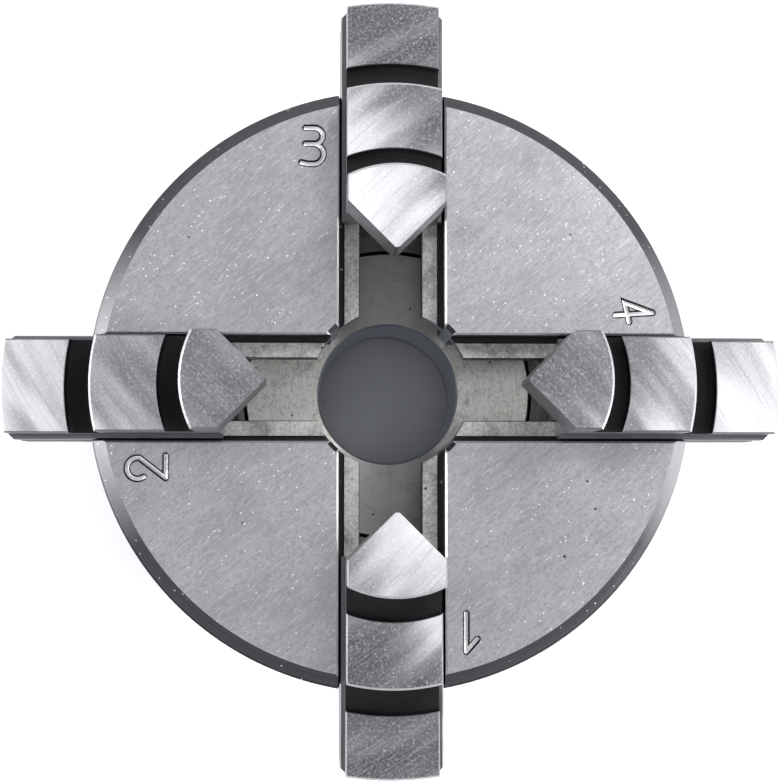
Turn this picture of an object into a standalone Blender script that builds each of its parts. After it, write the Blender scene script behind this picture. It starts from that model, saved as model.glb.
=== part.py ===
"""A four-jaw self-centring lathe chuck with a 125 mm body, its jaws almost fully open.

Metres, with +Z out of the front face. The origin is the centre of the rear face, and the
jaws slide along X and Y. Turning a pinion turns the scroll, whose spiral groove carries
the teeth of all four jaws at once.
"""

import math

import bmesh
import bpy
from mathutils import Matrix, Vector

MM = 0.001
GAP = 0.3 * MM
OVERSHOOT = 1.0 * MM
TURN = 2.0 * math.pi
SHARP_ANGLE = 30.0

# Steps in a full circle: large turned pieces, pinion bores, mounting holes, screws, and the
# spiral.
TURNED_STEPS = 72
BORE_STEPS = 36
HOLE_STEPS = 24
SCREW_STEPS = 16
SPIRAL_STEPS = 36
SPIRAL_TURNS = 4

# Body: outside, cavity, hub and through bore.
BODY_RADIUS = 62.5 * MM
BODY_HEIGHT = 58.0 * MM
FRONT_LAND_RADIUS = 61.9 * MM
FRONT_LAND_LENGTH = 5.0 * MM
FRONT_CHAMFER = 2.7 * MM
REAR_CHAMFER = 1.0 * MM
REGISTER_RADIUS = 47.5 * MM
REGISTER_DEPTH = 4.0 * MM
REGISTER_CHAMFER = 0.6 * MM
BORE_RADIUS = 15.0 * MM
HUB_RADIUS = 31.1 * MM
HUB_TOP = 34.0 * MM
HUB_REAR = 8.7 * MM
CAVITY_ROOF = 38.6 * MM
FRONT_BORE_RADIUS = 16.6 * MM
FRONT_BORE_CHAMFER = 0.9 * MM
HUB_CHAMFER = 0.4 * MM

# Jaw slots: a T-shaped way with a guide rib on each wall.
SLOT_HALF = 10.9 * MM
SLOT_EDGE = 0.4 * MM
RIB_TOP = 51.7 * MM
RIB_BOTTOM = 47.0 * MM
RIB_GAP_HALF = 6.5 * MM
RIB_RELIEF = 1.1 * MM

# Scroll: spiral groove in front, crown teeth behind.
SCROLL_PITCH = 6.0 * MM
SCROLL_BORE_RADIUS = 31.5 * MM
SCROLL_RADIUS = 47.1 * MM
SCROLL_CREST = 38.2 * MM
GROOVE_FLOOR = 34.2 * MM
GROOVE_WIDTH = 3.6 * MM
GROOVE_START = 31.3 * MM
SCROLL_WEB_REAR = 25.2 * MM
CROWN_INNER_RADIUS = 37.3 * MM
CROWN_TEETH = 56
CROWN_TIP_LAND = 1.2 * MM
CROWN_ROOT_LAND = 2.7 * MM

# Pinions: bevel teeth inside, a journal in the body wall, a square key socket outside.
PINION_TEETH = 9
PINION_AXIS_Z = 17.5 * MM
PINION_ANGLES = (45.0, 135.0, 225.0, 315.0)
GEAR_OUTER = 46.0 * MM
GEAR_ENDS = (38.0 * MM, 47.5 * MM)
GEAR_PITCH_RADIUS = GEAR_OUTER * PINION_TEETH / CROWN_TEETH
GEAR_TIP_LAND = 0.9 * MM
GEAR_ROOT_LAND = 3.0 * MM
ADDENDUM = 0.95 * MM
DEDENDUM = 1.35 * MM
JOURNAL_RADIUS = 8.7 * MM
JOURNAL_END = 61.8 * MM
JOURNAL_CHAMFER = 0.5 * MM
JOURNAL_GROOVE = (52.2 * MM, 56.8 * MM)
JOURNAL_GROOVE_RADIUS = 7.0 * MM
PINION_BORE_RADIUS = 9.0 * MM
KEY_SQUARE = 8.0 * MM
KEY_DEPTH = 11.0 * MM

# Rear holes and their screws.
RETAINER_CIRCLE = 54.5 * MM
RETAINER_RADIUS = 2.2 * MM
RETAINER_TIP_RADIUS = 1.6 * MM
RETAINER_REAR = 0.8 * MM
RETAINER_SHOULDER = 7.0 * MM
RETAINER_SHOULDER_LEAD = 0.4 * MM
RETAINER_TOP = 10.1 * MM
RETAINER_KEY = 2.0 * MM
MOUNTING_CIRCLE = 54.0 * MM
MOUNTING_HOLE_RADIUS = 3.4 * MM
MOUNTING_HOLE_LEAD = 0.8 * MM
MOUNTING_HOLE_DEPTH = 16.0 * MM
MOUNTING_ANGLES = (90.0, 210.0, 330.0)
COVER_SCREW_CIRCLE = 23.0 * MM
COVER_SCREW_RADIUS = 2.5 * MM
COVER_SCREW_HEAD_RADIUS = 4.9 * MM
COVER_SCREW_SEAT = REGISTER_DEPTH + 0.1 * MM
COVER_SCREW_TOP = 18.0 * MM
COVER_SCREW_LEAD = 0.6 * MM
COVER_SCREW_KEY = 3.0 * MM
COVER_SCREW_ANGLES = (0.0, 90.0, 180.0, 270.0)
KEY_SOCKET_DEPTH = 2.0 * MM

# Rear cover: a plate with a boss that carries the scroll.
COVER_RADIUS = 47.1 * MM
COVER_FRONT = 8.3 * MM
COVER_BOSS_RADII = (31.5 * MM, 35.8 * MM)
COVER_BOSS_TOP = 24.9 * MM

# Jaws. Lengths run outwards from the tip, which stands at JAW_TIP from the chuck's axis.
JAW_TIP = 25.2 * MM
JAW_ANGLES = {"jaw_1": 270.0, "jaw_2": 180.0, "jaw_3": 90.0, "jaw_4": 0.0}
JAW_TOP = 84.0 * MM
JAW_HALF = 9.45 * MM
JAW_FLANGE_HALF = SLOT_HALF - GAP
JAW_FLANGE_TOP = 56.0 * MM
RIB_CLEARANCE = 0.4 * MM
JAW_NECK_HALF = RIB_GAP_HALF - RIB_CLEARANCE
JAW_GROOVE_TOP = RIB_TOP + RIB_CLEARANCE
JAW_GROOVE_BOTTOM = RIB_BOTTOM - RIB_CLEARANCE
JAW_UNDERSIDE = 38.8 * MM
JAW_BEAK_BOTTOM = 70.0 * MM
JAW_BEAK_LENGTH = 9.3 * MM
JAW_TIP_FLAT = 0.8 * MM
JAW_TIP_TO_GRIND_AXIS = 5.0 * MM
STEP_RADII = (21.2 * MM, 39.7 * MM, 58.6 * MM)
STEP_STARTS = (26.5 * MM, 45.8 * MM)
STEP_TOPS = (71.6 * MM, 62.2 * MM)
RELIEF_DEPTH = 3.0 * MM
TOOTH_TIP = 34.6 * MM
TOOTH_THICKNESS = 2.4 * MM
TOOTH_HALF_WIDTH = 9.0 * MM
TOOTH_OUTER_ARC = 33.0 * MM
TOOTH_INNER_ARC = 46.0 * MM
TOOTH_ARC_STEPS = 5
JAW_LENGTH = STEP_RADII[2] - JAW_TIP_TO_GRIND_AXIS

# Turns a prism, whose outline lies in X and Y, so that it runs along +X.
ALONG_X = Matrix(((0, 0, 1), (1, 0, 0), (0, 1, 0))).to_4x4()


def clear_scene():
    for obj in list(bpy.data.objects):
        bpy.data.objects.remove(obj, do_unlink=True)


def make_material(name, colour, roughness):
    material = bpy.data.materials.new(name)
    material.use_nodes = True
    shader = material.node_tree.nodes["Principled BSDF"]
    shader.inputs["Base Color"].default_value = (*colour, 1.0)
    shader.inputs["Roughness"].default_value = roughness
    shader.inputs["Metallic"].default_value = 1.0
    return material


def around_z(degrees):
    return Matrix.Rotation(math.radians(degrees), 4, "Z")


def at_polar(radius, degrees):
    """A place on a circle about the chuck's axis, turned to face outwards."""
    return around_z(degrees) @ Matrix.Translation((radius, 0.0, 0.0))


def radial_axes(degrees):
    """Local Z points outwards along a pinion's axis, and local X points to the front."""
    outward = around_z(degrees) @ Vector((1.0, 0.0, 0.0))
    front = Vector((0.0, 0.0, 1.0))
    side = outward.cross(front)
    axes = Matrix((front, side, outward)).transposed().to_4x4()
    return Matrix.Translation((0.0, 0.0, PINION_AXIS_Z)) @ axes


def add_rings(bm, rings, looped):
    """Faces between neighbouring closed rings of points, with the ends capped unless looped."""
    made = [[bm.verts.new(point) for point in ring] for ring in rings]
    pairs = list(zip(made, made[1:]))
    if looped:
        pairs.append((made[-1], made[0]))
    for low, high in pairs:
        for index in range(len(low)):
            after = (index + 1) % len(low)
            bm.faces.new((low[index], low[after], high[after], high[index]))
    if not looped:
        bm.faces.new(made[0])
        bm.faces.new(made[-1])


def circle_ring(radius, z, segments):
    steps = (TURN * index / segments for index in range(segments))
    return [Vector((radius * math.cos(a), radius * math.sin(a), z)) for a in steps]


def add_turned(bm, profile, segments, place=Matrix(), looped=False):
    """Turns (radius, z) points about local Z. A looped profile closes on itself as a ring."""
    rings = [circle_ring(radius, z, segments) for radius, z in profile]
    add_rings(bm, [[place @ point for point in ring] for ring in rings], looped)


def add_prism(bm, outline, low, high, place=Matrix()):
    """Runs an (x, y) outline along local Z."""
    ends = [[place @ Vector((x, y, z)) for x, y in outline] for z in (low, high)]
    add_rings(bm, ends, looped=False)


def mesh_of(bm, name):
    bmesh.ops.recalc_face_normals(bm, faces=bm.faces)
    mesh = bpy.data.meshes.new(name)
    bm.to_mesh(mesh)
    bm.free()
    return mesh


def add_part(name, mesh, material, place=Matrix()):
    mesh.shade_smooth()
    mesh.set_sharp_from_angle(angle=math.radians(SHARP_ANGLE))
    mesh.materials.append(material)
    obj = bpy.data.objects.new(name, mesh)
    bpy.context.scene.collection.objects.link(obj)
    obj.matrix_world = place
    return obj


def shape_with(target, mesh, operation="DIFFERENCE"):
    """A Boolean with a helper that is parented to the part it shapes."""
    helper = bpy.data.objects.new(f"{target.name}_{mesh.name}", mesh)
    bpy.context.scene.collection.objects.link(helper)
    helper.parent = target
    helper.hide_render = True
    helper.display_type = "WIRE"
    modifier = target.modifiers.new(mesh.name, "BOOLEAN")
    modifier.operation = operation
    modifier.object = helper


def slot_outline():
    """Half of the slot's cross-section, top to floor, then its mirror image."""
    rise = SLOT_EDGE + OVERSHOOT
    right = [
        (SLOT_HALF + rise, BODY_HEIGHT + OVERSHOOT),
        (SLOT_HALF, BODY_HEIGHT - SLOT_EDGE),
        (SLOT_HALF, RIB_TOP - RIB_RELIEF),
        (SLOT_HALF - RIB_RELIEF, RIB_TOP - RIB_RELIEF),
        (SLOT_HALF - RIB_RELIEF, RIB_TOP),
        (RIB_GAP_HALF, RIB_TOP),
        (RIB_GAP_HALF, RIB_BOTTOM),
        (SLOT_HALF, RIB_BOTTOM),
        (SLOT_HALF, HUB_TOP),
    ]
    return right + [(-y, z) for y, z in reversed(right)]


def slot_cutter(degrees):
    bm = bmesh.new()
    reach = BODY_RADIUS + 5.0 * OVERSHOOT
    add_prism(bm, slot_outline(), -reach, reach, around_z(degrees) @ ALONG_X)
    return mesh_of(bm, f"slot_{degrees:.0f}")


def pinion_bore_cutter():
    bm = bmesh.new()
    mouth = BODY_RADIUS - OVERSHOOT
    profile = [
        (PINION_BORE_RADIUS, REGISTER_RADIUS - 2.0 * OVERSHOOT),
        (PINION_BORE_RADIUS, mouth),
        (PINION_BORE_RADIUS + 2.0 * OVERSHOOT, mouth + 2.0 * OVERSHOOT),
    ]
    for degrees in PINION_ANGLES:
        add_turned(bm, profile, BORE_STEPS, radial_axes(degrees))
    return mesh_of(bm, "pinion_bores")


def rear_hole_cutter():
    """Retainer holes up into the pinion bores, blind mounting holes, and cover screw holes."""
    bm = bmesh.new()
    retainer = RETAINER_RADIUS + GAP
    for degrees in PINION_ANGLES:
        profile = [(retainer, -OVERSHOOT), (retainer, PINION_AXIS_Z - JOURNAL_GROOVE_RADIUS)]
        add_turned(bm, profile, SCREW_STEPS, at_polar(RETAINER_CIRCLE, degrees))
    mouth = MOUNTING_HOLE_RADIUS + MOUNTING_HOLE_LEAD
    for degrees in MOUNTING_ANGLES:
        profile = [
            (mouth + OVERSHOOT, -OVERSHOOT),
            (MOUNTING_HOLE_RADIUS, MOUNTING_HOLE_LEAD),
            (MOUNTING_HOLE_RADIUS, MOUNTING_HOLE_DEPTH),
        ]
        add_turned(bm, profile, HOLE_STEPS, at_polar(MOUNTING_CIRCLE, degrees))
    screw = COVER_SCREW_RADIUS + GAP
    for degrees in COVER_SCREW_ANGLES:
        profile = [(screw, HUB_REAR - OVERSHOOT), (screw, COVER_SCREW_TOP + 2.0 * OVERSHOOT)]
        add_turned(bm, profile, SCREW_STEPS, at_polar(COVER_SCREW_CIRCLE, degrees))
    return mesh_of(bm, "rear_holes")


def make_body(material):
    land_start = BODY_HEIGHT - FRONT_LAND_LENGTH
    profile = [
        (BORE_RADIUS, HUB_REAR),
        (HUB_RADIUS, HUB_REAR),
        (HUB_RADIUS, CAVITY_ROOF),
        (REGISTER_RADIUS, CAVITY_ROOF),
        (REGISTER_RADIUS, REGISTER_CHAMFER),
        (REGISTER_RADIUS + REGISTER_CHAMFER, 0.0),
        (BODY_RADIUS - REAR_CHAMFER, 0.0),
        (BODY_RADIUS, REAR_CHAMFER),
        (BODY_RADIUS, land_start),
        (FRONT_LAND_RADIUS, land_start),
        (FRONT_LAND_RADIUS, BODY_HEIGHT - FRONT_CHAMFER),
        (FRONT_LAND_RADIUS - FRONT_CHAMFER, BODY_HEIGHT),
        (FRONT_BORE_RADIUS + FRONT_BORE_CHAMFER, BODY_HEIGHT),
        (FRONT_BORE_RADIUS, BODY_HEIGHT - FRONT_BORE_CHAMFER),
        (FRONT_BORE_RADIUS, HUB_TOP),
        (BORE_RADIUS + HUB_CHAMFER, HUB_TOP),
        (BORE_RADIUS, HUB_TOP - HUB_CHAMFER),
    ]
    bm = bmesh.new()
    add_turned(bm, profile, TURNED_STEPS, looped=True)
    body = add_part("chuck_body", mesh_of(bm, "chuck_body"), material)
    shape_with(body, slot_cutter(0.0))
    shape_with(body, slot_cutter(90.0))
    shape_with(body, pinion_bore_cutter())
    shape_with(body, rear_hole_cutter())


def spiral_groove_cutter():
    """A square-sided groove whose radius grows by one pitch for each turn."""
    bm = bmesh.new()
    half = 0.5 * GROOVE_WIDTH
    rings = []
    for index in range(SPIRAL_TURNS * SPIRAL_STEPS):
        turns = (index + 0.5) / SPIRAL_STEPS
        angle = TURN * turns
        radius = GROOVE_START + SCROLL_PITCH * (turns - 1.0)
        outward = Vector((math.cos(angle), math.sin(angle), 0.0))
        low = Vector((0.0, 0.0, GROOVE_FLOOR))
        high = Vector((0.0, 0.0, SCROLL_CREST + OVERSHOOT))
        inner = outward * (radius - half)
        outer = outward * (radius + half)
        rings.append([inner + low, outer + low, outer + high, inner + high])
    add_rings(bm, rings, looped=False)
    return mesh_of(bm, "spiral_groove")


def crown_space_cutter():
    """The spaces between the crown teeth, which all narrow towards the chuck's axis."""
    pitch = TURN * GEAR_OUTER / CROWN_TEETH
    tip_half = 0.5 * (pitch - CROWN_TIP_LAND)
    root_half = 0.5 * (pitch - CROWN_ROOT_LAND)
    tip = GEAR_PITCH_RADIUS - ADDENDUM
    root = GEAR_PITCH_RADIUS + DEDENDUM
    slope = (tip_half - root_half) / (root - tip)
    mouth_half = tip_half + slope * OVERSHOOT
    outline = [
        (-mouth_half, tip - OVERSHOOT),
        (mouth_half, tip - OVERSHOOT),
        (root_half, root),
        (-root_half, root),
    ]
    bm = bmesh.new()
    for tooth in range(CROWN_TEETH):
        place = around_z(360.0 * tooth / CROWN_TEETH)
        rings = []
        for radius in (CROWN_INNER_RADIUS - GAP, SCROLL_RADIUS + OVERSHOOT):
            scale = radius / GEAR_OUTER
            points = [Vector((radius, y * scale, PINION_AXIS_Z + z * scale)) for y, z in outline]
            rings.append([place @ point for point in points])
        add_rings(bm, rings, looped=False)
    return mesh_of(bm, "crown_spaces")


def make_scroll(material):
    tip_slope = (GEAR_PITCH_RADIUS - ADDENDUM) / GEAR_OUTER
    profile = [
        (SCROLL_BORE_RADIUS, SCROLL_WEB_REAR),
        (CROWN_INNER_RADIUS, SCROLL_WEB_REAR),
        (CROWN_INNER_RADIUS, PINION_AXIS_Z + tip_slope * CROWN_INNER_RADIUS),
        (SCROLL_RADIUS, PINION_AXIS_Z + tip_slope * SCROLL_RADIUS),
        (SCROLL_RADIUS, SCROLL_CREST),
        (SCROLL_BORE_RADIUS, SCROLL_CREST),
    ]
    bm = bmesh.new()
    add_turned(bm, profile, TURNED_STEPS, looped=True)
    scroll = add_part("scroll_disc", mesh_of(bm, "scroll_disc"), material)
    shape_with(scroll, spiral_groove_cutter())
    shape_with(scroll, crown_space_cutter())


def countersunk_profile(clearance):
    """The screw's head and shank, or with a clearance the hole for it."""
    head = COVER_SCREW_HEAD_RADIUS + clearance
    shank = COVER_SCREW_RADIUS + clearance
    return [(head, COVER_SCREW_SEAT), (shank, COVER_SCREW_SEAT + head - shank)]


def cover_hole_cutter():
    bm = bmesh.new()
    (head, seat), (shank, neck) = countersunk_profile(GAP)
    profile = [
        (head + OVERSHOOT, seat - OVERSHOOT),
        (shank, neck),
        (shank, COVER_FRONT + OVERSHOOT),
    ]
    for degrees in COVER_SCREW_ANGLES:
        add_turned(bm, profile, SCREW_STEPS, at_polar(COVER_SCREW_CIRCLE, degrees))
    return mesh_of(bm, "screw_holes")


def make_rear_cover(material):
    boss_inner, boss_outer = COVER_BOSS_RADII
    profile = [
        (BORE_RADIUS, REGISTER_DEPTH + HUB_CHAMFER),
        (BORE_RADIUS + HUB_CHAMFER, REGISTER_DEPTH),
        (COVER_RADIUS, REGISTER_DEPTH),
        (COVER_RADIUS, COVER_FRONT),
        (boss_outer, COVER_FRONT),
        (boss_outer, COVER_BOSS_TOP),
        (boss_inner, COVER_BOSS_TOP),
        (boss_inner, COVER_FRONT),
        (BORE_RADIUS, COVER_FRONT),
    ]
    bm = bmesh.new()
    add_turned(bm, profile, TURNED_STEPS, looped=True)
    cover = add_part("rear_cover", mesh_of(bm, "rear_cover"), material)
    shape_with(cover, cover_hole_cutter())


def hexagon(across_flats):
    corner = across_flats / math.sqrt(3.0)
    return [
        (corner * math.cos(TURN * side / 6.0), corner * math.sin(TURN * side / 6.0))
        for side in range(6)
    ]


def hex_socket_cutter(across_flats, low, high):
    bm = bmesh.new()
    add_prism(bm, hexagon(across_flats), low, high)
    return mesh_of(bm, "hex_socket")


def make_cover_screws(material):
    profile = countersunk_profile(0.0)
    profile.append((COVER_SCREW_RADIUS, COVER_SCREW_TOP - COVER_SCREW_LEAD))
    profile.append((COVER_SCREW_RADIUS - COVER_SCREW_LEAD, COVER_SCREW_TOP))
    low = REGISTER_DEPTH - OVERSHOOT
    socket = hex_socket_cutter(COVER_SCREW_KEY, low, REGISTER_DEPTH + KEY_SOCKET_DEPTH)
    for index, degrees in enumerate(COVER_SCREW_ANGLES):
        name = f"cover_screw_{index + 1}"
        bm = bmesh.new()
        add_turned(bm, profile, SCREW_STEPS)
        screw = add_part(name, mesh_of(bm, name), material, at_polar(COVER_SCREW_CIRCLE, degrees))
        shape_with(screw, socket)


def make_pinion_retainers(material):
    """Dog-point set screws: the plain tip stands in the pinion's groove."""
    profile = [
        (RETAINER_RADIUS - GAP, RETAINER_REAR),
        (RETAINER_RADIUS, RETAINER_REAR + GAP),
        (RETAINER_RADIUS, RETAINER_SHOULDER),
        (RETAINER_TIP_RADIUS, RETAINER_SHOULDER + RETAINER_SHOULDER_LEAD),
        (RETAINER_TIP_RADIUS, RETAINER_TOP),
    ]
    low = RETAINER_REAR - OVERSHOOT
    socket = hex_socket_cutter(RETAINER_KEY, low, RETAINER_REAR + KEY_SOCKET_DEPTH)
    for index, degrees in enumerate(PINION_ANGLES):
        name = f"pinion_retainer_{index + 1}"
        bm = bmesh.new()
        add_turned(bm, profile, SCREW_STEPS)
        place = at_polar(RETAINER_CIRCLE, degrees)
        retainer = add_part(name, mesh_of(bm, name), material, place)
        shape_with(retainer, socket)


def gear_ring(scale, z):
    """Straight-sided teeth: four points for each tooth, the first tooth pointing along X."""
    tip = GEAR_PITCH_RADIUS + ADDENDUM
    root = GEAR_PITCH_RADIUS - DEDENDUM
    tip_angle = 0.5 * GEAR_TIP_LAND / tip
    root_angle = 0.5 * GEAR_ROOT_LAND / root
    ring = []
    for tooth in range(PINION_TEETH):
        middle = TURN * tooth / PINION_TEETH
        corners = (
            (root, middle - root_angle),
            (tip, middle - tip_angle),
            (tip, middle + tip_angle),
            (root, middle + root_angle),
        )
        for radius, angle in corners:
            x = scale * radius * math.cos(angle)
            y = scale * radius * math.sin(angle)
            ring.append(Vector((x, y, z)))
    return ring


def journal_ring(radius, z):
    """A circle whose points stand at the same angles as the gear's."""
    return [Vector((p.x, p.y, 0.0)).normalized() * radius + Vector((0.0, 0.0, z))
            for p in gear_ring(1.0, z)]


def key_socket_cutter():
    half = 0.5 * KEY_SQUARE
    square = [(half, half), (-half, half), (-half, -half), (half, -half)]
    bm = bmesh.new()
    add_prism(bm, square, JOURNAL_END - KEY_DEPTH, JOURNAL_END + OVERSHOOT)
    return mesh_of(bm, "key_socket")


def make_pinions(material):
    gear_start, gear_end = GEAR_ENDS
    groove_start, groove_end = JOURNAL_GROOVE
    rings = [
        gear_ring(gear_start / GEAR_OUTER, gear_start),
        gear_ring(gear_end / GEAR_OUTER, gear_end),
        journal_ring(JOURNAL_RADIUS, gear_end),
        journal_ring(JOURNAL_RADIUS, groove_start),
        journal_ring(JOURNAL_GROOVE_RADIUS, groove_start),
        journal_ring(JOURNAL_GROOVE_RADIUS, groove_end),
        journal_ring(JOURNAL_RADIUS, groove_end),
        journal_ring(JOURNAL_RADIUS, JOURNAL_END - JOURNAL_CHAMFER),
        journal_ring(JOURNAL_RADIUS - JOURNAL_CHAMFER, JOURNAL_END),
    ]
    socket = key_socket_cutter()
    for index, degrees in enumerate(PINION_ANGLES):
        name = f"pinion_{index + 1}"
        bm = bmesh.new()
        add_rings(bm, rings, looped=False)
        pinion = add_part(name, mesh_of(bm, name), material, radial_axes(degrees))
        shape_with(pinion, socket)


def jaw_outline():
    """Half of the jaw's cross-section, from the underside up past the guide grooves."""
    right = [
        (JAW_FLANGE_HALF, JAW_UNDERSIDE),
        (JAW_FLANGE_HALF, JAW_GROOVE_BOTTOM),
        (JAW_NECK_HALF, JAW_GROOVE_BOTTOM),
        (JAW_NECK_HALF, JAW_GROOVE_TOP),
        (JAW_FLANGE_HALF, JAW_GROOVE_TOP),
        (JAW_FLANGE_HALF, JAW_FLANGE_TOP),
        (JAW_HALF, JAW_FLANGE_TOP),
        (JAW_HALF, JAW_TOP),
    ]
    return right + [(-y, z) for y, z in reversed(right)]


def beak_cutter():
    """Leaves a right-angled V tip above the beak's underside."""
    flat = 0.5 * JAW_TIP_FLAT
    side = 2.0 * JAW_HALF
    outline = [
        (-side, -side - flat),
        (side, -side - flat),
        (0.0, -flat),
        (0.0, flat),
        (side, side + flat),
        (-side, side + flat),
    ]
    bm = bmesh.new()
    add_prism(bm, outline, JAW_BEAK_BOTTOM - GAP, JAW_TOP + OVERSHOOT)
    return mesh_of(bm, "beak")


def underbeak_cutter():
    """Cuts the jaw back below its beak."""
    side = 2.0 * JAW_HALF
    outline = [
        (-side, -side),
        (JAW_BEAK_LENGTH, -side),
        (JAW_BEAK_LENGTH, side),
        (-side, side),
    ]
    bm = bmesh.new()
    add_prism(bm, outline, JAW_UNDERSIDE - OVERSHOOT, JAW_BEAK_BOTTOM)
    return mesh_of(bm, "underbeak")


def step_cutter():
    """All that is ground away round one axis: two steps with relief grooves, and the back."""
    inner, middle, outer = STEP_RADII
    middle_start, outer_start = STEP_STARTS
    middle_top, outer_top = STEP_TOPS
    far = outer + 10.0 * OVERSHOOT
    above = JAW_TOP + OVERSHOOT
    below = JAW_UNDERSIDE - OVERSHOOT
    profile = [
        (inner, above),
        (inner, middle_top - RELIEF_DEPTH),
        (middle_start, middle_top - RELIEF_DEPTH),
        (middle_start, middle_top),
        (middle, middle_top),
        (middle, outer_top - RELIEF_DEPTH),
        (outer_start, outer_top - RELIEF_DEPTH),
        (outer_start, outer_top),
        (outer, outer_top),
        (outer, below),
        (far, below),
        (far, above),
    ]
    bm = bmesh.new()
    place = Matrix.Translation((-JAW_TIP_TO_GRIND_AXIS, 0.0, 0.0))
    add_turned(bm, profile, TURNED_STEPS, place, looped=True)
    return mesh_of(bm, "steps")


def tooth_outline(centre):
    """A crescent: its outer arc is tighter than the spiral, and its inner arc is wider."""
    steps = TOOTH_ARC_STEPS
    sides = [TOOTH_HALF_WIDTH * (2.0 * index / steps - 1.0) for index in range(steps + 1)]
    outer_face = centre + 0.5 * TOOTH_THICKNESS
    inner_face = centre - 0.5 * TOOTH_THICKNESS
    outer = [
        (outer_face - TOOTH_OUTER_ARC + math.sqrt(TOOTH_OUTER_ARC**2 - y * y), y) for y in sides
    ]
    inner = [
        (inner_face - TOOTH_INNER_ARC + math.sqrt(TOOTH_INNER_ARC**2 - y * y), y) for y in sides
    ]
    return outer + inner[::-1]


def jaw_teeth(degrees):
    """Teeth stand where the groove crosses this jaw: each jaw's are a quarter pitch further out."""
    half = 0.5 * TOOTH_THICKNESS
    centre = GROOVE_START + SCROLL_PITCH * degrees / 360.0 - JAW_TIP
    while centre - half < JAW_BEAK_LENGTH:
        centre += SCROLL_PITCH
    bm = bmesh.new()
    while centre + 2.0 * half < JAW_LENGTH:
        add_prism(bm, tooth_outline(centre), TOOTH_TIP, JAW_UNDERSIDE + GAP)
        centre += SCROLL_PITCH
    return mesh_of(bm, f"teeth_{degrees:.0f}")


def make_jaws(material):
    shapers = [beak_cutter(), underbeak_cutter(), step_cutter()]
    for name, degrees in JAW_ANGLES.items():
        bm = bmesh.new()
        add_prism(bm, jaw_outline(), 0.0, JAW_LENGTH + OVERSHOOT, ALONG_X)
        jaw = add_part(name, mesh_of(bm, name), material, at_polar(JAW_TIP, degrees))
        for shaper in shapers:
            shape_with(jaw, shaper)
        shape_with(jaw, jaw_teeth(degrees), "UNION")


def main():
    clear_scene()
    ground = make_material("ground_body", (0.56, 0.56, 0.57), 0.34)
    jaw_steel = make_material("ground_jaw", (0.70, 0.70, 0.69), 0.26)
    hardened = make_material("hardened_steel", (0.30, 0.30, 0.31), 0.40)
    turned = make_material("turned_cover", (0.45, 0.45, 0.46), 0.38)
    blackened = make_material("blackened_screw", (0.06, 0.06, 0.065), 0.45)
    make_body(ground)
    make_scroll(hardened)
    make_rear_cover(turned)
    make_pinions(hardened)
    make_pinion_retainers(blackened)
    make_cover_screws(blackened)
    make_jaws(jaw_steel)


main()
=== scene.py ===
"""The looks of a four-jaw self-centring lathe chuck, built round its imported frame.

Metres, with +Z out of the front face, as in the frame. Every piece repeats its node's sizes
with round stretches in many more steps, broken edges, engraved slot numbers, and a finish
for each kind of machined surface.
"""

import math

import bmesh
import bpy
from mathutils import Matrix, Vector


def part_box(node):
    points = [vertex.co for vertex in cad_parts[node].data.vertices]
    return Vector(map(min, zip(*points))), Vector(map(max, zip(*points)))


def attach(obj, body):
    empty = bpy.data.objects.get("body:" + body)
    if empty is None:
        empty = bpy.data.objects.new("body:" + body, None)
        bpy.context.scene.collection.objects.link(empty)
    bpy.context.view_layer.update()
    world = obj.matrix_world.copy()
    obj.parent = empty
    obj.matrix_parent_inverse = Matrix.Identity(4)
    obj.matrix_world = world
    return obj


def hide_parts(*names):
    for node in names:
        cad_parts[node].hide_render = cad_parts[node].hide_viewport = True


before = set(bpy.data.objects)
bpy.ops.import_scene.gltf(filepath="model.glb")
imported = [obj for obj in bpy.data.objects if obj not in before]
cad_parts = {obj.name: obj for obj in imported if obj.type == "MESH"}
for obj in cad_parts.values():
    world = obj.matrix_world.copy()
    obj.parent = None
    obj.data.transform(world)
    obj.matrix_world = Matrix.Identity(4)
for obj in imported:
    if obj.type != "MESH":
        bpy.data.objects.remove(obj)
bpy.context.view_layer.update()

MM = 0.001
GAP = 0.3 * MM
OVERSHOOT = 1.0 * MM
HAIR = 0.05 * MM
TURN = 2.0 * math.pi
UP = Vector((0.0, 0.0, 1.0))
AT_ORIGIN = Matrix()

# Steps in a full circle, from the largest turned pieces to the smallest.
BODY_STEPS = 192
JAW_STEPS = 288
HOLE_STEPS = 48
SPIRAL_STEPS = 120
SPIRAL_TURNS = 4
POINTS_PER_TOOTH = 12
STROKE_STEPS = 12
ARC_STEPS = 16
CORNER_STEPS = 6
SHARP_ANGLE = 24.0

# Body: outside, cavity, hub and through bore.
BODY_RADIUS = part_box("chuck_body")[1].x
BODY_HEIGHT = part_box("chuck_body")[1].z
FRONT_LAND_RADIUS = BODY_RADIUS - 0.6 * MM
FRONT_LAND_LENGTH = 5.0 * MM
FRONT_CHAMFER = 2.7 * MM
REAR_CHAMFER = 1.0 * MM
REGISTER_RADIUS = 47.5 * MM
REGISTER_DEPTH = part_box("rear_cover")[0].z
REGISTER_CHAMFER = 0.6 * MM
BORE_RADIUS = 15.0 * MM
HUB_RADIUS = 31.1 * MM
HUB_TOP = 34.0 * MM
HUB_REAR = 8.7 * MM
HUB_CHAMFER = 0.4 * MM
CAVITY_ROOF = 38.6 * MM
FRONT_BORE_RADIUS = 16.6 * MM
FRONT_BORE_CHAMFER = 0.9 * MM
EDGE_BREAK = 0.15 * MM

# Jaw slots: a T-shaped way with a guide rib on each wall.
SLOT_HALF = 10.9 * MM
SLOT_EDGE = 0.4 * MM
RIB_TOP = 51.7 * MM
RIB_BOTTOM = 47.0 * MM
RIB_GAP_HALF = 6.5 * MM
RIB_RELIEF = 1.1 * MM

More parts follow.
